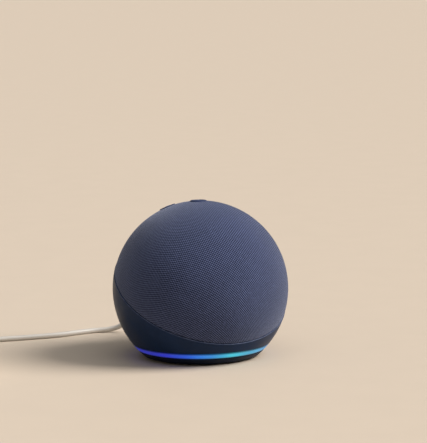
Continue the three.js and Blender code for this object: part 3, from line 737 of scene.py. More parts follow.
@dataclass(frozen=True)
class Film:
    """The amber film of the flat ribbons, with copper tracks along it."""

    film: Colour = (0.52, 0.20, 0.035)
    copper: Colour = (0.70, 0.34, 0.12)
    pitch: float = 0.5

    def build(self) -> bpy.types.Material:
        """Returns the material.

        Returns:
            The finished material.
        """
        shader = Shader("flex_ribbon")
        point = shader.place()
        lane = (shader.along(point, RIGHT) / self.pitch).wave() * 0.5 + 0.5
        tracks = lane.eased(0.4, 0.6)
        scuff = shader.noise(point, 2.0, 3.0, 0.6)
        colour = shader.mixed(tracks, scaled(self.film, 0.9), self.copper)
        return shader.finished(
            base_color=colour,
            roughness=scuff.eased(0.3, 0.7, 0.28, 0.42),
            normal=shader.bumped(tracks, 0.02),
        )


class Palette:
    """Every finish, under the name of the record's material slot."""

    def __init__(self) -> None:
        """Builds the materials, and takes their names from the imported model's plain ones."""
        for plain in bpy.data.materials:
            plain.name = "plain_" + plain.name
        self.made: dict[str, bpy.types.Material] = {}
        finishes = [
            Knit(),
            Housing(),
            Moulded("button_plastic", (0.026, 0.038, 0.094), 0.62, 0.30, 0.014, 0.10, 0.22),
            LightGuide(),
            Moulded("base_plastic", (0.0025, 0.0085, 0.026), 0.52, 0.40, 0.016, 0.10, 0.16),
            Moulded("foot_rubber", (0.014, 0.014, 0.016), 0.88, 0.55, 0.030, 0.16, 0.3),
            Moulded("black_plastic", (0.016, 0.016, 0.018), 0.55, 0.42, 0.018, 0.12),
            Pulp("cone_paper", (0.022, 0.022, 0.025), 0.9),
            Moulded("surround_rubber", (0.012, 0.012, 0.013), 0.62, 0.5, 0.01, 0.1, 0.4),
            Pulp("spider_cloth", (0.42, 0.24, 0.08), 0.5, 0.55),
            Board(),
            Film(),
            Metal("steel", (0.58, 0.59, 0.60)),
            Metal("blade_metal", (0.68, 0.65, 0.60), 0.24, 0.07, (8.0, 1.0, 1.0)),
            Metal("magnet_ferrite", (0.060, 0.061, 0.066), 0.62, 0.10, (1.0, 1.0, 1.0), 0.25),
            Metal("aluminium", (0.72, 0.73, 0.75), 0.36, 0.07, (14.0, 1.0, 1.0)),
            Metal("copper", (0.72, 0.34, 0.16), 0.3, 0.08, (1.0, 12.0, 1.0)),
            Moulded("lead_plastic", (0.56, 0.53, 0.48), 0.46, 0.5, 0.006, 0.018),
            Moulded("key_print", (0.17, 0.20, 0.29), 0.6, 0.25, 0.006, 0.08),
        ]
        for finish in finishes:
            material = finish.build()
            self.made[material.name] = material

    def __getitem__(self, slot: str) -> bpy.types.Material:
        """Returns the finish of a slot."""
        return self.made[slot]


# Outlines


def rounded(corners: Sequence[tuple[float, float, float]], steps: int = 5) -> Profile:
    """Rounds the corners of an open outline.

    Args:
        corners: Points as (across, along, corner radius).
        steps: Points on each round.

    Returns:
        The outline's points.
    """
    outline: Profile = []
    for i, (x, y, radius) in enumerate(corners):
        here = Vector((x, y))
        if radius <= 0 or i in (0, len(corners) - 1):
            outline.append((x, y))
            continue
        before = (Vector(corners[i - 1][:2]) - here).normalized()
        after = (Vector(corners[i + 1][:2]) - here).normalized()
        half = before.angle(after) / 2
        back = radius / math.tan(half)
        middle = here + (before + after).normalized() * (radius / math.sin(half))
        start = here + before * back - middle
        end = here + after * back - middle
        turn = start.angle_signed(end)
        for step in range(steps + 1):
            angle = -turn * step / steps
            point = middle + Matrix.Rotation(angle, 2) @ start
            outline.append((point.x, point.y))
    return outline


def circle(count: int, radius: float = 1.0, start: float = 0.0) -> list[tuple[float, float]]:
    """Returns points round a circle."""
    turns = [start + math.tau * i / count for i in range(count)]
    return [(radius * math.cos(t), radius * math.sin(t)) for t in turns]


def arc(radius: float, start: float, end: float, steps: int) -> Profile:
    """Returns points of an arc between two angles."""
    turns = [start + (end - start) * i / steps for i in range(steps + 1)]
    return [(radius * math.cos(t), radius * math.sin(t)) for t in turns]


def quarter(steps: int) -> list[float]:
    """Returns angles from zero to a quarter turn."""
    return [math.pi / 2 * i / steps for i in range(steps + 1)]


def rounded_box(half_x: float, half_y: float, corner: float, steps: int) -> Profile:
    """Returns a rectangle about the origin with round corners.

    Args:
        half_x: Half its width.
        half_y: Half its height.
        corner: The radius of its corners.
        steps: Steps on each corner.

    Returns:
        Its points, from the corner at +X and +Y round.
    """
    found = []
    for turn, (x_sign, y_sign) in enumerate(((1, 1), (-1, 1), (-1, -1), (1, -1))):
        for x, y in arc(corner, turn * math.pi / 2, (turn + 1) * math.pi / 2, steps):
            found.append((x_sign * (half_x - corner) + x, y_sign * (half_y - corner) + y))
    return found


def smooth(share: float) -> float:
    """Returns a smooth step of a share from 0 to 1."""
    clipped = min(1.0, max(0.0, share))
    return clipped * clipped * (3.0 - 2.0 * clipped)


# Meshes

ON_AXIS = 1e-6
MERGE_METRES = 1e-7
FLAT_TOLERANCE = 1e-7

class Solid:
    """Points and faces of one piece, in millimetres."""

    def __init__(self) -> None:
        """Starts an empty solid."""
        self.points: Points = []
        self.faces: Faces = []

    def ring(self, points: Sequence[Vector]) -> list[int]:
        """Adds points and returns their numbers.

        Args:
            points: The points.

        Returns:
            Their numbers.
        """
        first = len(self.points)
        self.points.extend(points)
        return list(range(first, len(self.points)))

    def bridge(self, first: list[int], second: list[int]) -> None:
        """Joins two rings, or a ring and a single point, with faces.

        Args:
            first: The numbers of the first ring.
            second: The numbers of the second ring.
        """
        count = max(len(first), len(second))
        for i in range(count):
            j = (i + 1) % count
            corners = [first[i % len(first)], first[j % len(first)]]
            corners += [second[j % len(second)], second[i % len(second)]]
            kept = tuple(dict.fromkeys(corners))
            if len(kept) > 2:
                self.faces.append(kept)

    def chained(self, rings: Sequence[list[int]], closed: bool = False) -> "Solid":
        """Joins each ring to the next, and the last to the first if closed.

        Args:
            rings: The rings, in order.
            closed: Whether they run in a loop.

        Returns:
            The solid itself.
        """
        rings = list(rings)
        for first, second in zip(rings, rings[1:] + rings[:1] if closed else rings[1:]):
            self.bridge(first, second)
        return self

    def turned(
        self, axes: Axes, profile: Profile, segments: int = 96, closed: bool = True
    ) -> "Solid":
        """Turns a profile about the Z axis of a frame.

        Args:
            axes: The frame.
            profile: Points as (radius, height).
            segments: Points round the axis.
            closed: Whether the last point joins the first.

        Returns:
            The solid itself.
        """
        rings = []
        for radius, height in profile:
            round_it = circle(segments, radius) if radius >= ON_AXIS else [(0.0, 0.0)]
            rings.append(self.ring([axes.at(x, y, height) for x, y in round_it]))
        return self.chained(rings, closed)

    def lofted(self, sections: Sequence[Sequence[Vector]], capped: bool = True) -> "Solid":
        """Joins closed sections of equal counts, with flat ends if capped.

        Args:
            sections: The sections, in order.
            capped: Whether the ends are closed.

        Returns:
            The solid itself.
        """
        rings = [self.ring(section) for section in sections]
        self.chained(rings)
        if capped:
            self.faces.append(tuple(rings[0]))
            self.faces.append(tuple(reversed(rings[-1])))
        return self

    def strips(self, ring: list[int], way: int) -> None:
        """Closes a ring that runs out along one outline and back along another.

        Args:
            ring: The ring's points.
            way: 1 or -1, the way round of the faces.
        """
        for i in range(len(ring) // 2 - 1):
            quad = (ring[i], ring[i + 1], ring[-2 - i], ring[-1 - i])
            self.faces.append(quad[::way])

    def piece(
        self, name: str, material: bpy.types.Material, sharp: float = 40.0
    ) -> bpy.types.Object:
        """Makes the Blender object.

        Args:
            name: Its name.
            material: Its finish.
            sharp: Edges that turn by more than this many degrees stay sharp.

        Returns:
            The object, in metres, at the origin.
        """
        mesh = bpy.data.meshes.new(name)
        mesh.from_pydata([p * MM for p in self.points], [], self.faces)
        work = bmesh.new()
        work.from_mesh(mesh)
        bmesh.ops.remove_doubles(work, verts=work.verts, dist=MERGE_METRES)
        bmesh.ops.recalc_face_normals(work, faces=work.faces)
        work.to_mesh(mesh)
        work.free()
        mesh.materials.append(material)
        shade(mesh, sharp)
        made = bpy.data.objects.new(name, mesh)
        bpy.context.scene.collection.objects.link(made)
        return made


def shade(mesh: bpy.types.Mesh, sharp: float) -> None:
    """Shades a mesh smoothly except across edges that turn by more than some degrees."""
    mesh.polygons.foreach_set("use_smooth", [True] * len(mesh.polygons))
    mesh.set_sharp_from_angle(angle=math.radians(sharp))


@dataclass(frozen=True)
class Edge:
    """A round edge of a ball-shaped shell: a seam plane's circle, or the mouth of a bore."""

    axes: Axes
    radius: float
    height: float | None
    lip: float
    segments: int
    inner_shift: float = 0.0
    wall: tuple[tuple[float, float], ...] = ()
    inward: float = 1.0
    bands: int = 3
    band_width: float = 0.45

    def offsets(self) -> Profile:
        """Returns the shell's rings beside the edge, as (distance in, drop).

        Returns:
            The rings, from the edge inwards.
        """
        rings = [(self.lip * (1 - math.cos(t)), self.lip * (1 - math.sin(t))) for t in quarter(4)]
        return rings + [(self.lip + self.band_width * (i + 1), 0.0) for i in range(self.bands)]

    def ring(self, sphere: float, distance: float) -> Points:
        """Returns the circle on a sphere at a distance in from the edge.

        Args:
            sphere: The sphere's radius.
            distance: How far in from the edge.

        Returns:
            The circle's points.
        """
        if self.height is None:
            ball = self.axes.along(BALL.centre)
            found = []
            for x, y in circle(self.segments, self.radius + distance):
                rise = math.sqrt(sphere**2 - (x - ball.x) ** 2 - (y - ball.y) ** 2)
                found.append(self.axes.at(x, y, ball.z + rise))
            return found
        angle = math.acos(self.height / sphere) - self.inward * distance / sphere
        return [
            self.axes.at(x, y, sphere * math.cos(angle))
            for x, y in circle(self.segments, sphere * math.sin(angle))
        ]

    def distance(self, sphere: float, point: Vector) -> float:
        """Returns how far in from the edge a point on the sphere lies.

        Args:
            sphere: The sphere's radius.
            point: The point.

        Returns:
            The distance, negative outside the shell.
        """
        local = self.axes.along(point)
        if self.height is None:
            return math.hypot(local.x, local.y) - self.radius if local.z > 0 else sphere
        angle = math.acos(max(-1.0, min(1.0, local.z / sphere)))
        return (math.acos(self.height / sphere) - angle) * sphere * self.inward

    def walls(self) -> list[Points]:
        """Returns the rings between the outer and the inner surface."""
        return [
            [self.axes.at(x, y, height) for x, y in circle(self.segments, radius)]
            for radius, height in self.wall
        ]


@dataclass(frozen=True)
class BallShell:
    """A shell between two spheres about the ball's middle, bounded by round edges."""

    outer: float
    inner: float
    pole: Vector
    edges: tuple[Edge, ...]
    spacing: float = 1.5
    clearance: float = 0.55

    def _flat(self, point: Vector) -> Vector:
        """Returns a point of the sphere on a plane, so that circles stay circles."""
        axes = Axes(BALL.centre, self.pole.orthogonal().normalized(), self.pole)
        local = axes.along(point).normalized()
        return Vector((local.x, local.y)) / (1.0 + local.z)

    def _scattered(self) -> Points:
        """Returns evenly spaced points of the outer sphere, clear of every edge.

        Returns:
            The points.
        """
        count = round(4 * math.pi * self.outer**2 / (self.spacing**2 * math.sqrt(3) / 2))
        golden = math.pi * (3 - math.sqrt(5))
        clear = self.clearance * self.spacing
        found = []
        for i in range(count):
            z = 1 - (2 * i + 1) / count
            around = math.sqrt(1 - z * z)
            direction = Vector((around * math.cos(golden * i), around * math.sin(golden * i), z))
            point = BALL.centre + direction * self.outer
            if all(
                edge.distance(self.outer, point) > edge.offsets()[-1][0] + clear
                for edge in self.edges
            ):
                found.append(point)
        return found

    def build(self, solid: Solid) -> Solid:
        """Adds the shell to a solid.

        Args:
            solid: The solid to add to.

        Returns:
            The same solid.
        """
        flat: list[Vector] = []
        outer: Points = []
        inner: Points = []
        constraints: list[tuple[int, int]] = []
        rims: list[list[int]] = []
        for edge in self.edges:
            offsets = edge.offsets()
            reach = offsets[-1][0]
            for depth, (distance, drop) in enumerate(offsets):
                first = len(flat)
                surface = edge.ring(self.outer, distance)
                shift = edge.inner_shift * (1 - distance / reach)
                numbers = [first + i for i in range(len(surface))]
                flat += [self._flat(p) for p in surface]
                if edge.height is None:
                    outer += [p - edge.axes.z * drop for p in surface]
                else:
                    outer += [p - (p - BALL.centre).normalized() * drop for p in surface]
                inner += edge.ring(self.inner, distance + shift)
                constraints += list(zip(numbers, numbers[1:] + numbers[:1]))
                if depth == 0:
                    rims.append(numbers)
        for point in self._scattered():
            flat.append(self._flat(point))
            outer.append(point)
            inner.append(BALL.centre + (point - BALL.centre) * (self.inner / self.outer))
        _, _, faces, origins, _, _ = delaunay_2d_cdt(flat, constraints, [], 0, FLAT_TOLERANCE, True)
        number = [origin[0] for origin in origins]
        openings = [frozenset(rim) for rim in rims]
        base = len(solid.points)
        count = len(outer)
        solid.points += outer + inner
        for face in faces:
            corners = [number[i] for i in face]
            if not any(all(i in opening for i in corners) for opening in openings):
                solid.faces.append(tuple(base + i for i in corners))
                solid.faces.append(tuple(base + count + i for i in reversed(corners)))
        for edge, rim in zip(self.edges, rims):
            rings = [[base + i for i in rim]]
            rings += [solid.ring(points) for points in edge.walls()]
            rings.append([base + count + i for i in rim])
            solid.chained(rings)
        return solid


# Stage


def heading(azimuth: float, elevation: float) -> Vector:
    """Returns the direction towards a bearing and a height, both in degrees.

    Args:
        azimuth: Degrees round from the front, positive to the object's +X.
        elevation: Degrees above the table.

    Returns:
        A direction of length 1.
    """
    turn, rise = math.radians(azimuth), math.radians(elevation)
    level = math.cos(rise)
    return Vector((math.sin(turn) * level, -math.cos(turn) * level, math.sin(rise)))


@dataclass(frozen=True)
class Studio:
    """The camera, the lights and the plain floor."""

    distance: float = 1.2
    azimuth: float = -28.9
    elevation: float = 9.23
    roll: float = 0.73
    focal: float = 2110.0
    frame_size: tuple[int, int] = (427, 443)
    ball_at: tuple[float, float] = (200.65, 287.82)
    sensor: float = 36.0
    clip: tuple[float, float] = (0.05, 100.0)
    floor_rings: tuple[float, ...] = (300.0, 1200.0, 5000.0, 24000.0)
    floor_drop: float = 0.00002
    floor_colour: Colour = (0.60, 0.505, 0.405)

    def camera(self) -> bpy.types.Object:
        """Returns the camera, turned so that the ball stands where it should in the frame.

        Returns:
            The camera.
        """
        back = heading(self.azimuth, self.elevation)
        right = (-back).cross(UP).normalized()
        up = right.cross(-back)
        level = Matrix((right, up, -back))
        width, height = self.frame_size
        across = (self.ball_at[0] - width / 2) / self.focal
        below = -(self.ball_at[1] - height / 2) / self.focal
        pitch = math.atan(below)
        yaw = math.atan(across * math.cos(pitch))
        roll = math.radians(self.roll)
        cos, sin = math.cos(pitch), math.sin(pitch)
        nod = Matrix(((1, 0, 0), (0, cos, sin), (0, -sin, cos)))
        cos, sin = math.cos(yaw), math.sin(yaw)
        pan = Matrix(((cos, 0, sin), (0, 1, 0), (-sin, 0, cos)))
        cos, sin = math.cos(roll), math.sin(roll)
        tip = Matrix(((cos, -sin, 0), (sin, cos, 0), (0, 0, 1)))
        rows = pan @ nod @ tip @ level
        data = bpy.data.cameras.new("camera")
        data.sensor_width = self.sensor
        data.lens = self.focal / max(self.frame_size) * self.sensor
        data.clip_start, data.clip_end = self.clip
        made = bpy.data.objects.new("camera", data)
        pose = Matrix((rows[0], rows[1], -rows[2])).transposed().to_4x4()
        pose.translation = BALL.centre * MM + back * self.distance
        made.matrix_world = pose
        bpy.context.scene.collection.objects.link(made)
        bpy.context.scene.camera = made
        return made

    def floor(self) -> bpy.types.Object:
        """Returns the plain pale floor.

        Returns:
            The floor.
        """
        shader = Shader("floor")
        point = shader.place()
        speck = shader.noise(point, 30.0, 3.0, 0.6)
        faded = scaled(self.floor_colour, 0.985)
        colour = shader.mixed(speck.eased(0.3, 0.7), faded, self.floor_colour)
        material = shader.finished(base_color=colour, roughness=0.62, specular_ior_level=0.25)
        rings = [(radius, 0.0) for radius in (0.0, *self.floor_rings)]
        made = Solid().turned(GROUND, rings, closed=False).piece("floor", material)
        made.location.z = -self.floor_drop
        return made

    def light(
        self,
        name: str,
        azimuth: float,
        elevation: float,
        spread: float,
        strength: float,
        colour: Colour,
    ) -> bpy.types.Object:
        """Adds a broad, soft light from far away.

        Args:
            name: Its name.
            azimuth: Degrees round the ball from the camera, positive to the camera's right.
            elevation: Degrees above the table.
            spread: How wide it looks from the ball, in degrees.
            strength: Watts per square metre.
            colour: Its colour.

        Returns:
            The light.
        """
        data = bpy.data.lights.new(name, "SUN")
        data.angle = math.radians(spread)
        data.energy = strength
        data.color = colour
        made = bpy.data.objects.new(name, data)
        away = heading(self.azimuth + azimuth, elevation)
        made.rotation_euler = away.to_track_quat("Z", "Y").to_euler()
        bpy.context.scene.collection.objects.link(made)
        return made

    def build(self) -> None:
        """Builds the floor, the lights and the sky."""
        self.floor()
        self.light("key", 82.0, 40.0, 34.0, 4.3, (1.0, 0.965, 0.93))
        self.light("top", 30.0, 72.0, 60.0, 0.75, (0.95, 0.97, 1.0))
        self.light("fill", -70.0, 30.0, 60.0, 0.06, (0.85, 0.92, 1.0))
        world = bpy.data.worlds.new("studio")
        world.use_nodes = True
        background = world.node_tree.nodes["Background"]
        background.inputs["Color"].default_value = (0.98, 0.96, 0.93, 1.0)
        background.inputs["Strength"].default_value = 0.22
        bpy.context.scene.world = world
        bpy.context.scene.view_settings.view_transform = "Standard"


# Supply lead


@dataclass(frozen=True)
class Winding:
    """How the lead's spare length is wound: turns beside and on each other, a pitch apart."""

    pitch: float = 3.05
    columns: int = 3
    rows: int = 4
    jump: float = 100.0
    stagger: float = 31.0
    first_jump: float = 337.0
    last: float = 180.0 + 360.0 * 11
    step: float = 10.0

    def places(self) -> list[tuple[int, int]]:
        """Returns each turn's column, counted inwards, and row, counted up, in winding order.

        Returns:
            The places.
        """
        order = []
        for row in range(self.rows):
            columns = range(self.columns) if row % 2 == 0 else reversed(range(self.columns))
            order += [(column, row) for column in columns]
        return order

    def jumps(self) -> list[float]:
        """Returns the angle at which each turn starts to cross to the next place.

        Returns:
            The angles, in degrees.
        """
        order = self.places()
        found = []
        phase = 0
        for turn, ((_, row), (_, after)) in enumerate(zip(order, order[1:])):
            rises = after != row
            if turn and (rises or self._rose(order, turn)):
                phase += 1
            found.append(self.first_jump + 360.0 * turn - phase * self.stagger)
        return found

    def _rose(self, order: list[tuple[int, int]], turn: int) -> bool:
        """Returns whether the turn before this one climbed to a new row."""
        return order[turn][1] != order[turn - 1][1]

    def line(self, centre: Vector, outer: float, floor: float, start: float) -> Points:
        """Returns the winding's centreline.

        Args:
            centre: The coil's middle.
            outer: The radius of the outer turns.
            floor: The height of the lowest turns.
            start: The angle at which the lead joins the coil, in degrees.

        Returns:
            Points along the winding.
        """
        order, jumps = self.places(), self.jumps()
        found = []
        count = math.ceil((self.last - start) / self.step)
        for i in range(count + 1):
            angle = start + (self.last - start) * i / count
            column, row = (float(v) for v in order[0])
            for begin, before, after in zip(jumps, order, order[1:]):
                share = smooth((angle - begin) / self.jump)
                column += (after[0] - before[0]) * share
                row += (after[1] - before[1]) * share
            reach = outer - column * self.pitch
            turn = math.radians(angle)
            height = floor + row * self.pitch
            x, y = centre.x + reach * math.cos(turn), centre.y + reach * math.sin(turn)
            found.append(Vector((x, y, height)))
        return found


@dataclass(frozen=True)
class SupplyLead:
    """The lead, from the plug's strain relief through its coil to the wall adapter."""

    diameter: float = 3.0
    length: float = 1500.0
    route: tuple[tuple[float, float, float], ...] = (
        (0, 73.9, 15.5),
        (-0.1, 76.6, 14.9),
        (-1, 80.6, 11.6),
        (-3.8, 84.9, 6.8),
        (-8.2, 88.8, 3.3),
        (-13.6, 91.8, 1.8),
        (-21.1, 94.4, 1.5),
        (-31.4, 94.3, 1.5),
        (-45.3, 93.1, 1.5),
        (-57.8, 94.5, 1.5),
        (-69.9, 96.6, 1.5),
        (-81.7, 99.2, 1.5),
        (-95, 102.1, 1.5),
        (-106, 104.5, 1.5),
    )
    join_angle: float = 77.6
    tail_end: float = 21.5
    tail_steps: int = 8
    winding: Winding = Winding()

    def coil(self) -> tuple[Vector, float]:
        """Returns the coil's middle and the radius of its outer turns.

        Returns:
            The middle, on the table, and the radius.
        """
        low, high = box_mm("cord_coil")
        centre = (low + high) / 2
        return Vector((centre.x, centre.y, 0.0)), (high.x - low.x) / 2 - self.diameter / 2

    def centreline(self) -> Points:
        """Returns the lead's centreline from the strain relief to the adapter.

        Returns:
            The centreline's points.
        """
        centre, outer = self.coil()
        half = self.diameter / 2
        wound = self.winding.line(centre, outer, half, self.join_angle)
        loose = [Vector(p) for p in self.route]
        line = curve_through([loose[0] - BACK * 2, *loose, *wound[:2]], 3)[3:-3]
        _, adapter_high = box_mm("wall_adapter")
        tip = Vector((wound[-1].x, adapter_high.y - self.tail_end, wound[-1].z))
        steps = self.tail_steps
        tail = [wound[-1].lerp(tip, i / steps) for i in range(1, steps + 1)]
        return line + wound[1:] + tail

    def cord(self, palette: Palette) -> bpy.types.Object:
        """Returns the lead itself, as one curve.

        Args:
            palette: The finishes.

        Returns:
            The curve.
        """
        points = self.centreline()
        data = bpy.data.curves.new("power_lead", "CURVE")
        data.dimensions = "3D"
        data.bevel_depth = self.diameter / 2 * MM
        data.bevel_resolution = 6
        data.use_fill_caps = True
        spline = data.splines.new("POLY")
        spline.points.add(len(points) - 1)
        for spot, point in zip(spline.points, points):
            spot.co = (*(point * MM), 1.0)
        spline.use_smooth = True
        data.materials.append(palette["lead_plastic"])
        made = bpy.data.objects.new("power_lead", data)
        bpy.context.scene.collection.objects.link(made)
        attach(made, Body.LEAD.value)
        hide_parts("power_cord", "cord_coil")
        return made


def curve_through(points: Sequence[Vector], pieces: int) -> Points:
    """Returns a smooth curve through points.

    Args:
        points: The points.
        pieces: How many steps lie between two of them.

    Returns:
        The curve's points, ends included.
    """
    padded = [points[0] * 2 - points[1], *points, points[-1] * 2 - points[-2]]
    found = []
    for a, b, c, d in zip(padded, padded[1:], padded[2:], padded[3:]):
        for step in range(pieces):
            t = step / pieces
            found.append(
                0.5
                * (
                    2 * b
                    + (c - a) * t
                    + (2 * a - 5 * b + 4 * c - d) * t * t
                    + (3 * b - a - 3 * c + d) * t * t * t
                )
            )
    return found + [points[-1]]


# Shells


def placed(
    piece: bpy.types.Object, body: Body | None, nodes: Sequence[str] = ()
) -> bpy.types.Object:
    """Makes a piece ride on a body and stand for CAD nodes.

    Args:
        piece: The piece.
        body: The body that it moves with, or None for a piece on no body.
        nodes: The CAD nodes that it stands for.

    Returns:
        The piece.
    """
    if body:
        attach(piece, body.value)
    if nodes:
        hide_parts(*nodes)
    carrier = body.value if body else "two bodies"
    log.info("%s on %s, %d faces", piece.name, carrier, len(piece.data.polygons))
    return piece


def built(
    solid: Solid,
    name: str,
    palette: Palette,
    slot: str,
    body: Body | None,
    nodes: Sequence[str] = (),
    sharp: float = 40.0,
) -> bpy.types.Object:
    """Makes a solid's piece in the finish of a slot, and places it.

    Args:
        solid: The solid.
        name: The piece's name.
        palette: The finishes.
        slot: The material slot.
        body: The body that the piece moves with, or None for none.
        nodes: The CAD nodes that it stands for.
        sharp: Edges that turn by more than this many degrees stay sharp.

    Returns:
        The piece.
    """
    return placed(solid.piece(name, palette[slot], sharp), body, nodes)


KEY_CIRCLE = 13.2
KEY_RADIUS = 4.6


@dataclass(frozen=True)
class FabricDome:
    """The knitted cover: a thin shell with a turned hem and four openings for the keys."""

    hem: float = 0.42
    opening: float = KEY_RADIUS + 0.18
    opening_roll: float = 0.22

    def build(self, palette: Palette) -> None:
        """Builds the cover.

        Args:
            palette: The finishes.
        """
        height = BALL.seam + BALL.gap
        rim = Edge(BALL.dome, 0.0, height, self.hem, 240, bands=4, band_width=0.5)
        mouths = tuple(
            Edge(
                BALL.crown.moved(x, y),
                self.opening,
                None,
                self.opening_roll,
                56,
                bands=3,
                band_width=0.35,
            )
            for x, y in circle(4, KEY_CIRCLE)
        )
        inner = BALL.fabric_radius - BALL.fabric_thickness
        edges = (rim, *mouths)
        cover = BallShell(BALL.fabric_radius, inner, BALL.dome.z, edges, 1.35).build(Solid())
        slot, nodes = "knitted_fabric", ["fabric_cover"]
        built(cover, "fabric_dome", palette, slot, Body.SPEAKER, nodes, 60)


@dataclass(frozen=True)
class RearHousing:
    """The moulded housing behind the dome: a lip at the seam, an open foot, the jack's pocket."""

    lip: float = 0.34
    foot_lip: float = 0.25
    pocket_radius: float = 5.8
    pocket_wall: float = 1.6
    pocket_lip: float = 0.45
    pocket_round: float = 0.4
    pocket_ease: float = 0.12
    pocket_depth: float = 2.1
    bore_radius: float = 3.2
    bore_round: float = 0.25
    spacing: float = 1.45
    lug_reach: float = 3.0
    lug_width: float = 8.0
    lug_bottom: float = 12.0
    lug_height: float = 7.0
    lug_corner: float = 0.8
    lug_bite: float = 0.6

    def build(self, palette: Palette) -> None:
        """Builds the housing with its pocket and its two screw lugs.

        Args:
            palette: The finishes.
        """
        down = Axes(BALL.centre, RIGHT, -UP)
        foot = BALL.centre.z - BALL.ring_top - BALL.gap
        edges = (
            Edge(BALL.dome, 0.0, BALL.seam, self.lip, 240, inward=-1.0, bands=4),
            Edge(down, 0.0, foot, self.foot_lip, 200, inward=-1.0, bands=1),
            self._pocket(),
        )
        inner = BALL.radius - BALL.housing_wall
        solid = BallShell(BALL.radius, inner, -BALL.dome.z, edges, self.spacing).build(Solid())
        for node in ("frame_screw_1", "frame_screw_2"):
            self._lug(solid, node)
        slot, nodes = "housing_plastic", ["rear_housing"]
        built(solid, "rear_shell", palette, slot, Body.SPEAKER, nodes, 50)

    def _pocket(self) -> Edge:
        """Returns the mouth of the jack's pocket, with the pocket's wall down to its bore.

        Returns:
            The edge.
        """
        jack_low, jack_high = box_mm("power_jack")
        below = BALL.centre.z - (jack_low.z + jack_high.z) / 2
        radius, bore, back = self.pocket_radius, self.bore_radius, self.pocket_wall
        floor = math.sqrt(BALL.radius**2 - (below + radius) ** 2) - self.pocket_depth
        wall = (
            (radius, floor + self.pocket_round),
            (radius - self.pocket_ease, floor + self.pocket_ease),
            (radius - self.pocket_round, floor),
            (bore + self.bore_round, floor),
            (bore, floor - self.bore_round),
            (bore, floor - back),
            (radius + back, floor - back),
        )
        return Edge(
            BALL.back.moved(0, below),
            radius,
            None,
            self.pocket_lip,
            64,
            inner_shift=back,
            wall=wall,
            bands=1,
            band_width=0.4,
        )

    def _lug(self, solid: Solid, node: str) -> None:
        """Adds the lug that takes a frame screw, as a rib that grows out of the shell.

        Args:
            solid: The solid to add to.
            node: The screw's CAD node.
        """
        low, high = box_mm(node)
        middle = (low + high) / 2
        side = math.copysign(1.0, middle.x)
        centre_z = self.lug_bottom + self.lug_height / 2
        outline = [
            (y, centre_z + z)
            for y, z in rounded_box(self.lug_width / 2, self.lug_height / 2, self.lug_corner, 4)
        ]
        start = abs(middle.x) - self.lug_reach
        inside = BALL.radius - BALL.housing_wall * self.lug_bite
        end = [math.sqrt(inside**2 - y * y - (z - BALL.centre.z) ** 2) for y, z in outline]
        sections = [
            [
                Vector((side * (start + (x - start) * share), y, z))
                for x, (y, z) in zip(end, outline)
            ]
            for share in (0.0, 0.5, 1.0)
        ]
        solid.lofted(sections if side < 0 else list(reversed(sections)))


@dataclass(frozen=True)
class LitRing:
    """The diffuser ring between the housing and the base."""

    tongue_width: float = 2.6
    tongue_gap: float = 0.55
    face_round: float = 0.22
    face_steps: int = 6

    def build(self, palette: Palette) -> None:
        """Builds the ring.

        Args:
            palette: The finishes.
        """
        low, high = box_mm("light_ring")
        top = BALL.ring_top
        first, *middle, last = BALL.outline(low.z, top, self.face_steps)
        tongue = BALL.level(top + BALL.gap, BALL.radius - BALL.housing_wall) - self.tongue_gap
        inside = tongue - self.tongue_width
        corners = [(inside, low.z, 0.0), (*first, self.face_round)]
        corners += [(*point, 0.0) for point in middle]
        corners += [(*last, self.face_round)]
        corners += [(tongue, top, 0.2), (tongue, high.z, 0.3), (inside, high.z, 0.0)]
        ring = Solid().turned(GROUND, rounded(corners, 4), 256)
        slot, nodes = "light_guide", ["light_ring"]
        built(ring, "lit_ring", palette, slot, Body.SPEAKER, nodes, 35)


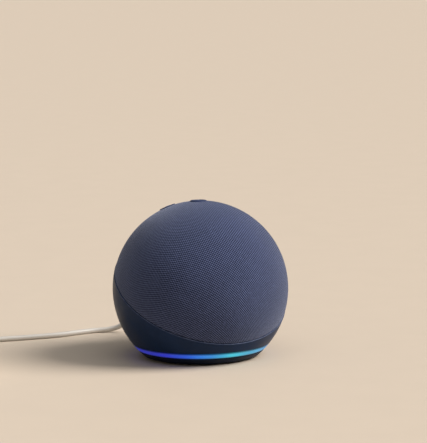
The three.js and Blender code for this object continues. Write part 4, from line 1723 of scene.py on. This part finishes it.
@dataclass(frozen=True)
class Base:
    """The base tray under the ring and the rubber foot pad let into it."""

    recess: float = 1.8
    floor: float = 1.6
    bottom: float = 1.0
    slope_steps: int = 4
    foot_room: float = 0.3
    foot_round: float = 0.45
    ring_reach: float = 3.15
    ring_room: float = 0.6
    grooves: int = 4
    groove_depth: float = 0.35
    groove_mouth: float = 0.6
    groove_floor: float = 0.35

    def build(self, palette: Palette) -> None:
        """Builds the tray and the foot.

        Args:
            palette: The finishes.
        """
        low, high = box_mm("rubber_foot")
        radius = (high.x - low.x) / 2
        tray = Solid().turned(GROUND, rounded(self._tray(radius), 4), 224, closed=False)
        slot, nodes = "base_plastic", ["base_plate"]
        built(tray, "base_tray", palette, slot, Body.SPEAKER, nodes, 35)
        pad = Solid().turned(GROUND, rounded(self._foot(radius, high.z), 4), 192, closed=False)
        slot, nodes = "foot_rubber", ["rubber_foot"]
        built(pad, "foot_pad", palette, slot, Body.SPEAKER, nodes, 35)

    def _tray(self, foot_radius: float) -> list[tuple[float, float, float]]:
        """Returns the tray's corners, from its recess round to its floor.

        Args:
            foot_radius: The radius of the foot pad.

        Returns:
            Corners as (radius, height, corner radius).
        """
        ring_low, _ = box_mm("light_ring")
        top = ring_low.z - BALL.gap
        inner = BALL.level(BALL.ring_top + BALL.gap, BALL.radius - BALL.housing_wall)
        well, well_floor = inner - self.ring_reach - self.ring_room, self.recess + self.floor
        recess = foot_radius + self.foot_room
        first, *slope, last = BALL.outline(self.bottom, top, self.slope_steps)
        corners = [(0.0, self.recess, 0.0), (recess, self.recess, 0.0)]
        corners += [(recess, self.bottom, 0.3), (*first, 0.35)]
        corners += [(*point, 0.0) for point in slope]
        corners += [(last[0], top, 0.25), (well, top, 0.3)]
        return corners + [(well, well_floor, 0.3), (0.0, well_floor, 0.0)]

    def _foot(self, radius: float, top: float) -> list[tuple[float, float, float]]:
        """Returns the pad's corners, along its grooved underside and back over its top.

        Args:
            radius: The pad's radius.
            top: The height of its top.

        Returns:
            Corners as (radius, height, corner radius).
        """
        depth, mouth, half = self.groove_depth, self.groove_mouth, self.groove_floor
        corners = [(0.0, depth, 0.0)]
        for i in range(self.grooves):
            groove = radius * (i + 1) / (self.grooves + 1)
            corners += [(groove - mouth, 0.0 if i else depth, 0.0), (groove - half, depth, 0.0)]
            corners += [(groove + half, depth, 0.0), (groove + mouth, 0.0, 0.0)]
        return corners + [(radius, 0.0, self.foot_round), (radius, top, 0.0), (0.0, top, 0.0)]


# Keys


class Mark(Enum):
    """The plain sign on a key."""

    DOT = "dot"
    PLUS = "plus"
    MINUS = "minus"
    CROSSED = "crossed"


@dataclass(frozen=True)
class Key:
    """A round key whose crowned face follows the ball, with a flange and a stem below."""

    node: str
    body: Body
    turn: float
    mark: Mark
    radius: float = KEY_RADIUS
    proud: float = 0.5
    edge: float = 0.45
    flange: float = 1.0
    flange_top: float = 42.03
    flange_round: float = 0.15
    stem_radius: float = 3.2
    stem_bottom: float = 36.63
    stem_round: float = 0.3
    dish: float = 0.06
    segments: int = 64

    @property
    def axes(self) -> Axes:
        """The key's frame: its Z is the crown's axis, through the key's middle."""
        return BALL.crown.moved(KEY_CIRCLE * math.cos(self.turn), KEY_CIRCLE * math.sin(self.turn))

    def face(self, x: float, y: float, lift: float = 0.0) -> Vector:
        """Returns the point of the crowned face over x and y of the key's own frame.

        Args:
            x: Across the key.
            y: Up the key.
            lift: How far above the face.

        Returns:
            The point.
        """
        sphere = BALL.fabric_radius + self.proud + lift
        far_x = x + KEY_CIRCLE * math.cos(self.turn)
        far_y = y + KEY_CIRCLE * math.sin(self.turn)
        return self.axes.at(x, y, math.sqrt(sphere**2 - far_x**2 - far_y**2))

    def build(self, palette: Palette) -> None:
        """Builds the key and its mark.

        Args:
            palette: The finishes.
        """
        solid = Solid()
        spots: list[Points] = [[self.face(0, 0, -self.dish)]]
        for share in (0.12, 0.24, 0.36, 0.48, 0.6, 0.7, 0.8):
            lift = -self.dish * (1 - smooth(share / 0.8))
            spots.append(self._round((self.radius - self.edge) * share / 0.8, lift))
        for turn in quarter(5)[1:]:
            reach = self.radius - self.edge * (1 - math.sin(turn))
            spots.append(self._round(reach, -self.edge * (1 - math.cos(turn))))
        for reach, height in self._skirt():
            spots.append([self.axes.at(x, y, height) for x, y in circle(self.segments, reach)])
        spots.append([self.axes.at(0, 0, self.stem_bottom)])
        solid.chained([solid.ring(ring) for ring in spots])
        name = self.body.value.replace("_key", "_cap")
        built(solid, name, palette, "button_plastic", self.body, [self.node])
        self._sign(palette)

    def _round(self, reach: float, lift: float) -> Points:
        """Returns a ring of the face about the key's axis."""
        return [self.face(x, y, lift) for x, y in circle(self.segments, reach)]

    def _skirt(self) -> Profile:
        """Returns the outline from the face's edge down over the flange to the stem's end.

        Returns:
            Points as (radius, height).
        """
        top, low = self.flange_top, self.flange_top - self.flange
        wide, bevel, stem = self.radius + self.flange, self.flange_round, self.stem_radius
        return [
            (self.radius, top + bevel),
            (self.radius + bevel, top),
            (wide - bevel, top),
            (wide, top - bevel),
            (wide, low),
            (stem + self.stem_round, low),
            (stem, low - self.stem_round),
            (stem, self.stem_bottom + self.stem_round),
            (stem - self.stem_round, self.stem_bottom),
        ]

    def _bar(self, solid: Solid, length: float, width: float, turn: float) -> None:
        """Adds a raised bar with round ends to a solid.

        Args:
            solid: The solid.
            length: Its length.
            width: Its width.
            turn: Its angle, in radians.
        """
        half, steps = length / 2 - width / 2, 8
        outline = [(half + x, y) for x, y in arc(width / 2, -math.pi / 2, math.pi / 2, steps)]
        outline += [(-half + x, y) for x, y in arc(width / 2, math.pi / 2, 1.5 * math.pi, steps)]
        self._raised(solid, outline, turn)

    def _raised(self, solid: Solid, outline: Sequence[tuple[float, float]], turn: float) -> None:
        """Adds a raised closed outline, turned about the key's axis.

        Args:
            solid: The solid.
            outline: The outline.
            turn: Its angle, in radians.
        """
        cos, sin = math.cos(turn), math.sin(turn)
        spots = [(x * cos - y * sin, x * sin + y * cos) for x, y in outline]
        levels = [(-0.1, 1.0), (0.05, 1.0), (0.09, 0.94)]
        sections = [[self.face(x * s, y * s, lift) for x, y in spots] for lift, s in levels]
        solid.lofted(sections)

    def _sign(self, palette: Palette) -> None:
        """Builds the key's mark as raised print.

        Args:
            palette: The finishes.
        """
        solid = Solid()
        if self.mark is Mark.DOT:
            self._raised(solid, circle(32, 0.62), 0.0)
        elif self.mark is Mark.MINUS:
            self._bar(solid, 3.0, 0.42, 0.0)
        elif self.mark is Mark.PLUS:
            arm, half = 1.5, 0.21
            quarter = [(half, half), (half, arm), (-half, arm)]
            outline = []
            for i in range(4):
                cos, sin = round(math.cos(math.pi / 2 * i)), round(math.sin(math.pi / 2 * i))
                outline += [(x * cos - y * sin, x * sin + y * cos) for x, y in quarter[:2]]
                outline += [(-half * cos - arm * sin, -half * sin + arm * cos)]
            self._raised(solid, outline, 0.0)
        else:
            outer, inner = circle(48, 1.45), circle(48, 1.05)
            rings = []
            for spots, lift in ((inner, -0.1), (inner, 0.09), (outer, 0.09), (outer, -0.1)):
                rings.append(solid.ring([self.face(x, y, lift) for x, y in spots]))
            solid.chained(rings, closed=True)
            self._bar(solid, 2.4, 0.36, math.radians(-45))
        sign = solid.piece(self.body.value.replace("_key", "_mark"), palette["key_print"], 40)
        placed(sign, self.body)


KEYS = (
    Key("action_button", Body.ACTION, -math.pi / 2, Mark.DOT),
    Key("volume_up_button", Body.VOLUME_UP, 0.0, Mark.PLUS),
    Key("mic_off_button", Body.MIC_OFF, math.pi / 2, Mark.CROSSED),
    Key("volume_down_button", Body.VOLUME_DOWN, math.pi, Mark.MINUS),
)


# Pieces on the lead


@dataclass(frozen=True)
class Relief:
    """A tapered strain relief whose slots are cut from two sides by turns."""

    length: float = 20.0
    root: float = 3.4
    tip: float = 2.05
    slots: int = 6
    slot_width: float = 1.2
    slot_depth: float = 0.75
    slot_start: float = 2.0
    unslotted: float = 3.0
    taper_power: float = 0.9
    segments: int = 48
    steps: int = 96

    def radius(self, along: float, turn: float) -> float:
        """Returns the radius at a distance from the root and an angle.

        Args:
            along: The distance from the root.
            turn: The angle about the axis.

        Returns:
            The radius.
        """
        share = along / self.length
        taper = self.root + (self.tip - self.root) * share**self.taper_power
        pitch = (self.length - self.unslotted) / self.slots
        place = (along - self.slot_start) / pitch
        number = math.floor(place)
        if not 0 <= number < self.slots:
            return taper
        edge = abs((place - number - 0.5) * pitch) / (self.slot_width / 2)
        cut = 1 - smooth((edge - 0.75) / 0.45)
        side = math.pi / 2 if number % 2 else 0.0
        open_side = smooth((abs(math.cos(turn - side)) - 0.35) / 0.25)
        return taper - self.slot_depth * cut * open_side * (1 - 0.35 * share)

    def sections(self, axes: Axes) -> list[Points]:
        """Returns the relief's rings along the Z axis of a frame.

        Args:
            axes: The frame, at the root.

        Returns:
            The rings, from the root to the tip.
        """
        found = []
        for i in range(self.steps + 1):
            along = self.length * i / self.steps
            ring = []
            for k in range(self.segments):
                turn = math.tau * k / self.segments
                reach = self.radius(along, turn)
                ring.append(axes.at(reach * math.cos(turn), reach * math.sin(turn), along))
            found.append(ring)
        end = self.length
        for shrink, push in ((0.12, 0.1), (0.4, 0.16)):
            reach = self.tip - shrink
            found.append([axes.at(x, y, end + push) for x, y in circle(self.segments, reach)])
        return found


@dataclass(frozen=True)
class Plug:
    """The moulded grip, its metal barrel and its strain relief."""

    grip_radius: float = 4.6
    grip_length: float = 13.9
    nose_radius: float = 4.1
    tail_radius: float = 3.45
    tip_radius: float = 0.01
    barrel_radius: float = 2.75
    barrel_overlap: float = 0.6
    pin_radius: float = 1.2
    segments: int = 72
    station: float = 0.45
    grooved: tuple[float, float] = (3.2, 10.4)
    groove_start: float = 3.6
    groove_pitch: float = 1.35
    groove_depth: float = 0.24
    groove_fade: float = 0.8
    groove_least_radius: float = 3.6

    def build(self, palette: Palette) -> None:
        """Builds the three pieces.

        Args:
            palette: The finishes.
        """
        low, high = box_mm("power_plug")
        relief_low, _ = box_mm("strain_relief")
        height = (low.z + high.z) / 2
        axes = lengthwise(0, 0, height)
        face = high.y - self.grip_length
        grip = self._grip(axes, face, high.y)
        built(grip, "plug_grip", palette, "lead_plastic", Body.LEAD, ["power_plug"])
        barrel = Solid().turned(axes, self._barrel(low.y, face), 64)
        built(barrel, "plug_barrel", palette, "blade_metal", Body.LEAD, sharp=35)
        relief = Solid().lofted(Relief().sections(lengthwise(0, relief_low.y, height)))
        slot, nodes = "lead_plastic", ["strain_relief"]
        built(relief, "relief_sleeve", palette, slot, Body.LEAD, nodes, 60)

    def _dip(self, reach: float, along: float, turn: float) -> float:
        """Returns the depth of the finger grooves at a place of the grip.

        Args:
            reach: The grip's radius there.
            along: The distance from its front face.
            turn: The angle about its axis.

        Returns:
            The depth, which is 0 away from the grooves.
        """
        if reach <= self.groove_least_radius:
            return 0.0
        first, last = self.grooved
        sides = smooth((abs(math.cos(turn)) - 0.80) / 0.1)
        zone = smooth((along - first) / self.groove_fade)
        zone *= 1 - smooth((along - last) / self.groove_fade)
        turns = (along - self.groove_start) / self.groove_pitch
        wave = 0.5 - 0.5 * math.cos(turns * math.tau)
        return self.groove_depth * sides * zone * wave

    def _grip(self, axes: Axes, face: float, end: float) -> Solid:
        """Returns the grip, with finger grooves on both sides.

        Args:
            axes: The plug's frame.
            face: Where the grip starts, along the frame's Z.
            end: Where it ends.

        Returns:
            The grip.
        """
        corners = [(self.tip_radius, face, 0), (self.nose_radius, face, 0.2)]
        corners += [(self.grip_radius, face + 0.7, 0.3), (self.grip_radius, end - 2.0, 1.2)]
        corners += [(self.tail_radius, end, 0.3), (self.tip_radius, end, 0)]
        outline = rounded(corners, 5)
        dense = [outline[0]]
        for before, after in zip(outline, outline[1:]):
            steps = max(1, round(math.dist(before, after) / self.station))
            for i in range(1, steps + 1):
                dense.append(tuple(b + (a - b) * i / steps for b, a in zip(before, after)))
        sections = []
        for radius, along in dense:
            ring = []
            for k in range(self.segments):
                turn = math.tau * k / self.segments
                reach = radius - self._dip(radius, along - face, turn)
                ring.append(axes.at(reach * math.cos(turn), reach * math.sin(turn), along))
            sections.append(ring)
        return Solid().lofted(sections)

    def _barrel(self, tip: float, face: float) -> Profile:
        """Returns the barrel's outline.

        Args:
            tip: Where the barrel ends in front.
            face: Where the grip starts.

        Returns:
            Points as (radius, place along the plug).
        """
        inside, outside, back = self.pin_radius, self.barrel_radius, face + self.barrel_overlap
        corners = [(inside, tip + 0.3, 0), (inside + 0.2, tip, 0), (outside - 0.35, tip, 0.0)]
        corners += [(outside, tip + 0.5, 0.3), (outside, back, 0), (inside, back, 0)]
        return rounded(corners, 4)


@dataclass(frozen=True)
class CoilTie:
    """The springy tie that holds the coil's turns together."""

    thickness: float = 1.2
    corner: float = 1.6
    inner_corner: float = 0.5
    bevel: float = 0.3

    def build(self, palette: Palette) -> None:
        """Builds the tie.

        Args:
            palette: The finishes.
        """
        low, high = box_mm("cord_clip")
        thick, bevel = self.thickness, self.bevel
        outside = self._hoop(low, high, 0.0, self.corner)
        inside = self._hoop(low, high, thick, self.inner_corner)
        solid = Solid()
        rings = []
        width = high.y - low.y
        stations = [(low.y, bevel), (low.y + bevel, 0.0), (low.y + width / 2, 0.0)]
        for y, inset in (*stations, (high.y - bevel, 0.0), (high.y, bevel)):
            loop = [
                Vector((x + inset * _side(x, low.x, high.x), y, z - inset * (z > low.z + 1)))
                for x, z in outside
            ]
            rings.append(solid.ring(loop + [Vector((x, y, z)) for x, z in reversed(inside)]))
        solid.chained(rings)
        solid.strips(rings[0], 1)
        solid.strips(rings[-1], -1)
        built(solid, "coil_tie", palette, "black_plastic", Body.LEAD, ["cord_clip"])

    def _hoop(self, low: Vector, high: Vector, inset: float, corner: float) -> Profile:
        """Returns the tie's outline across Y, open below.

        Args:
            low: The tie's lowest corner.
            high: Its highest corner.
            inset: How far inside its outer face the outline runs.
            corner: The radius of its upper corners.

        Returns:
            Points as (x, z).
        """
        left, right, top = low.x + inset, high.x - inset, high.z - inset
        corners = [(left, low.z, 0), (left, top, corner), (right, top, corner)]
        return rounded(corners + [(right, low.z, 0)], 8)


def _side(x: float, low: float, high: float) -> float:
    """Returns 1 near the low side, -1 near the high side and 0 between."""
    return 1.0 if x - low < 1 else -1.0 if high - x < 1 else 0.0


@dataclass(frozen=True)
class Adapter:
    """The wall adapter: a soft-edged case with a parting line, two blades and a strain relief."""

    corner: float = 4.0
    least_corner: float = 0.4
    edge: float = 1.6
    seam_width: float = 0.5
    seam_depth: float = 0.35
    seam_slope: float = 0.15
    seam_at: float = 0.3
    face_insets: tuple[tuple[float, float], ...] = ((2.4, 0.35), (2.0, 0.0))
    relief_overlap: float = 0.05
    blade_hole: float = 1.6
    hole_from_tip: float = 3.6
    hole_segments: int = 32
    blade_corner: float = 1.0
    blade_chamfer: float = 0.18

    def _section(self, middle: Vector, size: Vector, inset: float, y: float) -> Points:
        """Returns a rounded-rectangle section across Y.

        Args:
            middle: The case's middle.
            size: Its size.
            inset: How much smaller the section is on every side.
            y: Where it lies.

        Returns:
            The section's points.
        """
        half_x, half_z = size.x / 2 - inset, size.z / 2 - inset
        corner = max(self.least_corner, self.corner - inset)
        outline = rounded_box(half_x, half_z, corner, 8)
        return [Vector((middle.x + x, y, middle.z + z)) for x, z in outline]

    def _stations(self, front: float, back: float) -> Profile:
        """Returns the places of the case's sections, from its front face to its back.

        Args:
            front: The front face.
            back: The back face.

        Returns:
            Places as (y, inset).
        """
        edge, depth, slope = self.edge, self.seam_depth, self.seam_slope
        seam, half = front + (back - front) * self.seam_at, self.seam_width / 2
        found = [
            (front + edge * (1 - math.cos(t)), edge * (1 - math.sin(t))) for t in quarter(6)
        ]
        found += [(front + 5.0, 0.0), (seam - half - slope, 0.0), (seam - half, depth)]
        found += [(seam + half, depth), (seam + half + slope, 0.0), ((seam + back) / 2, 0.0)]
        found += [(back - edge * (1 - math.sin(t)), edge * (1 - math.cos(t))) for t in quarter(6)]
        return found

    def build(self, palette: Palette) -> None:
        """Builds the case, its relief and its blades.

        Args:
            palette: The finishes.
        """
        low, high = box_mm("wall_adapter")
        relief = Relief(slots=5, tip=2.0)
        front, back = low.y, high.y - relief.length
        middle, size = (low + high) / 2, high - low
        stations = [(front + dip, self.edge + extra) for extra, dip in self.face_insets]
        stations += self._stations(front, back)
        case = Solid().lofted([self._section(middle, size, inset, y) for y, inset in stations])
        built(case, "adapter_case", palette, "lead_plastic", Body.LEAD, ["wall_adapter"])
        outlet = SupplyLead().centreline()[-1]
        root = lengthwise(outlet.x, back - self.relief_overlap, outlet.z)
        sleeve = Solid().lofted(relief.sections(root))
        built(sleeve, "adapter_relief", palette, "lead_plastic", Body.LEAD, sharp=60)
        for node in ("adapter_blade_1", "adapter_blade_2"):
            self._blade(node, palette)

    def _blade(self, node: str, palette: Palette) -> None:
        """Builds one blade, with a rounded tip and a hole.

        Args:
            node: The blade's CAD node.
            palette: The finishes.
        """
        low, high = box_mm(node)
        middle = (low.z + high.z) / 2
        corner, sides = self.blade_corner, self.hole_segments
        bend = arc(corner, 0, math.pi / 2, 6)
        outline = [(high.y, low.z), (high.y, high.z)]
        outline += [(low.y + corner - y, high.z - corner + x) for x, y in bend]
        outline += [(low.y + corner - x, low.z + corner - y) for x, y in bend]
        hole_y = low.y + self.hole_from_tip
        hole = [(hole_y + x, middle + z) for x, z in circle(sides, self.blade_hole)]
        spots = [Vector(p) for p in outline + hole]
        count = len(outline)
        edges = [(i, (i + 1) % count) for i in range(count)]
        edges += [(count + i, count + (i + 1) % sides) for i in range(sides)]
        _, _, faces, origins, _, _ = delaunay_2d_cdt(spots, edges, [], 0, FLAT_TOLERANCE, True)
        solid = Solid()
        chamfer, bored = self.blade_chamfer, Vector((hole_y, middle))
        places = [(low.x, chamfer), (low.x + chamfer, 0), (high.x - chamfer, 0), (high.x, chamfer)]
        layers = []
        for x, inset in places:
            rim = [_toward(p, bored, inset) for p in spots[:count]]
            bore = [_toward(p, bored, -inset) for p in spots[count:]]
            layers.append(solid.ring([Vector((x, p.x, p.y)) for p in rim + bore]))
        for first, second in zip(layers, layers[1:]):
            solid.bridge(first[:count], second[:count])
            solid.bridge(first[count:], second[count:])
        number = [origin[0] for origin in origins]
        for face in faces:
            corners = [number[i] for i in face]
            if min(corners) < count:
                solid.faces.append(tuple(layers[0][i] for i in corners))
                solid.faces.append(tuple(layers[-1][i] for i in reversed(corners)))
        blade = solid.piece(node.replace("adapter_blade", "blade"), palette["blade_metal"], 30)
        placed(blade, Body.LEAD, [node])


def _toward(point: Vector, centre: Vector, distance: float) -> Vector:
    """Returns a point moved towards a centre by a distance."""
    away = centre - point
    return point + away.normalized() * distance


# Works inside


@dataclass(frozen=True)
class Suspension:
    """The driver's roll surround and its corrugated spider, between the basket and the cone.

    Each is made in sectors, every sector a piece of its own.
    """

    sectors: int = 10
    steps: int = 6
    roll_middle: float = 17.2
    roll_radius: float = 1.9
    thickness: float = 0.6
    rim: tuple[float, float] = (14.4, 20.6)
    clamp: float = 18.8
    cone_rim: float = 15.6
    spider_rim: tuple[float, float] = (7.9, 13.8)
    spider_thickness: float = 0.4
    spider_clamp: float = 12.9
    spider_lift: float = 0.3
    spider_crest: float = 0.7
    waves: float = 2.5
    free_end: float = 0.62
    free_fade: float = 0.16
    neck: float = 0.7

    def _roll(self) -> tuple[Profile, Profile]:
        """Returns the surround's front and back outlines from the inner edge outwards.

        Returns:
            The two outlines, as (radius, height).
        """
        thickness, inner, outer = self.thickness, *self.rim
        bend = arc(self.roll_radius, math.pi, 0.0, 14)
        front = [(inner, thickness)]
        front += [(self.roll_middle + x, max(z, thickness)) for x, z in bend]
        front += [(outer, thickness)]
        share = (self.roll_radius - thickness) / self.roll_radius
        back = [(inner, 0.0)] + [(self.roll_middle + x * share, z * share) for x, z in bend]
        return front, back + [(outer, 0.0)]

    def _corrugated(self) -> tuple[Profile, Profile]:
        """Returns the spider's front and back outlines from the neck outwards.

        Returns:
            The two outlines, as (radius, height).
        """
        inner, outer = self.spider_rim
        count = 30
        back = []
        for i in range(count + 1):
            share = i / count
            wave = 0.5 - 0.5 * math.cos(math.tau * self.waves * share)
            raised = self.spider_lift + (self.spider_crest - self.spider_lift) * wave
            free = 1 - smooth((share - self.free_end) / self.free_fade)
            back.append((inner + (outer - inner) * share, raised * free))
        return [(x, z + self.spider_thickness) for x, z in back], back

    def _made(
        self,
        node: str,
        slot: str,
        name: str,
        outline: tuple[Profile, Profile],
        fixed: float,
        moving: float,
        palette: Palette,
    ) -> None:
        """Builds one of the two rings in sectors that reach from the basket to the cone.

        Args:
            node: The CAD node of the ring.
            slot: Its material slot.
            name: The start of its sectors' names.
            outline: Its front and back outlines.
            fixed: The radius where the basket holds it.
            moving: The radius where the cone holds it.
            palette: The finishes.
        """
        low, high = box_mm(node)
        middle = (low + high) / 2
        axes = Axes(Vector((middle.x, high.y, middle.z)), RIGHT, -BACK)
        front, back = outline
        loop = front + list(reversed(back))
        half = math.pi / self.sectors
        for sector in range(self.sectors):
            centre = math.tau * sector / self.sectors
            sections = []
            for step in range(self.steps + 1):
                turn = centre + half * (2 * step / self.steps - 1)
                cos, sin = math.cos(turn), math.sin(turn)
                sections.append([axes.at(x * cos, x * sin, z) for x, z in loop])
            solid = Solid()
            rings = [solid.ring(section) for section in sections]
            solid.chained(rings)
            solid.strips(rings[0], -1)
            solid.strips(rings[-1], 1)
            piece = built(solid, f"{name}_{sector + 1}", palette, slot, None, [node], 50)
            along = axes.at(math.cos(centre), math.sin(centre), 0) - axes.origin
            start = axes.origin + along * (fixed * math.cos(half))
            end = axes.origin + along * moving
            tuple(start * MM)
            tuple(end * MM)
            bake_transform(piece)

    def build(self, palette: Palette) -> None:
        """Builds the surround and the spider.

        Args:
            palette: The finishes.
        """
        neck = self.spider_rim[0] + self.neck
        rings = (
            ("surround", "surround_rubber", self._roll(), self.clamp, self.cone_rim),
            ("spider", "spider_cloth", self._corrugated(), self.spider_clamp, neck),
        )
        for name, slot, outline, fixed, moving in rings:
            self._made("driver_" + name, slot, name, outline, fixed, moving, palette)


@dataclass(frozen=True)
class Works:
    """The parts inside that keep the shapes of the CAD frame and get their finishes here."""

    sharp: float = 32.0

    def dress(self, palette: Palette) -> None:
        """Gives every shown CAD node the finish of its slot and smooth shading.

        Args:
            palette: The finishes.
        """
        slots = {row["node"]: row["material_slot"] for row in frame["record"]["subparts"]}
        for name, node in sorted(frame["nodes"].items()):
            if node.hide_render:
                continue
            node.data.materials.clear()
            node.data.materials.append(palette[slots[name]])
            shade(node.data, self.sharp)
            log.info("%s in %s", name, slots[name])


# Assembly


def main() -> None:
    """Builds the camera and the lead, then the rest."""
    logging.basicConfig(level=logging.INFO, format="%(name)s: %(message)s")
    studio = Studio()
    studio.camera()
    palette = Palette()
    lead = SupplyLead()
    cord = lead.cord(palette)
    line = lead.centreline()
    log.info("lead %.1f mm", sum((b - a).length for a, b in zip(line, line[1:])))
    Plug().build(palette)
    CoilTie().build(palette)
    Adapter().build(palette)
    for shell in (FabricDome(), RearHousing(), LitRing(), Base(), *KEYS):
        shell.build(palette)
    Suspension().build(palette)
    Works().dress(palette)
    studio.build()


if __name__ == "__main__":
    main()
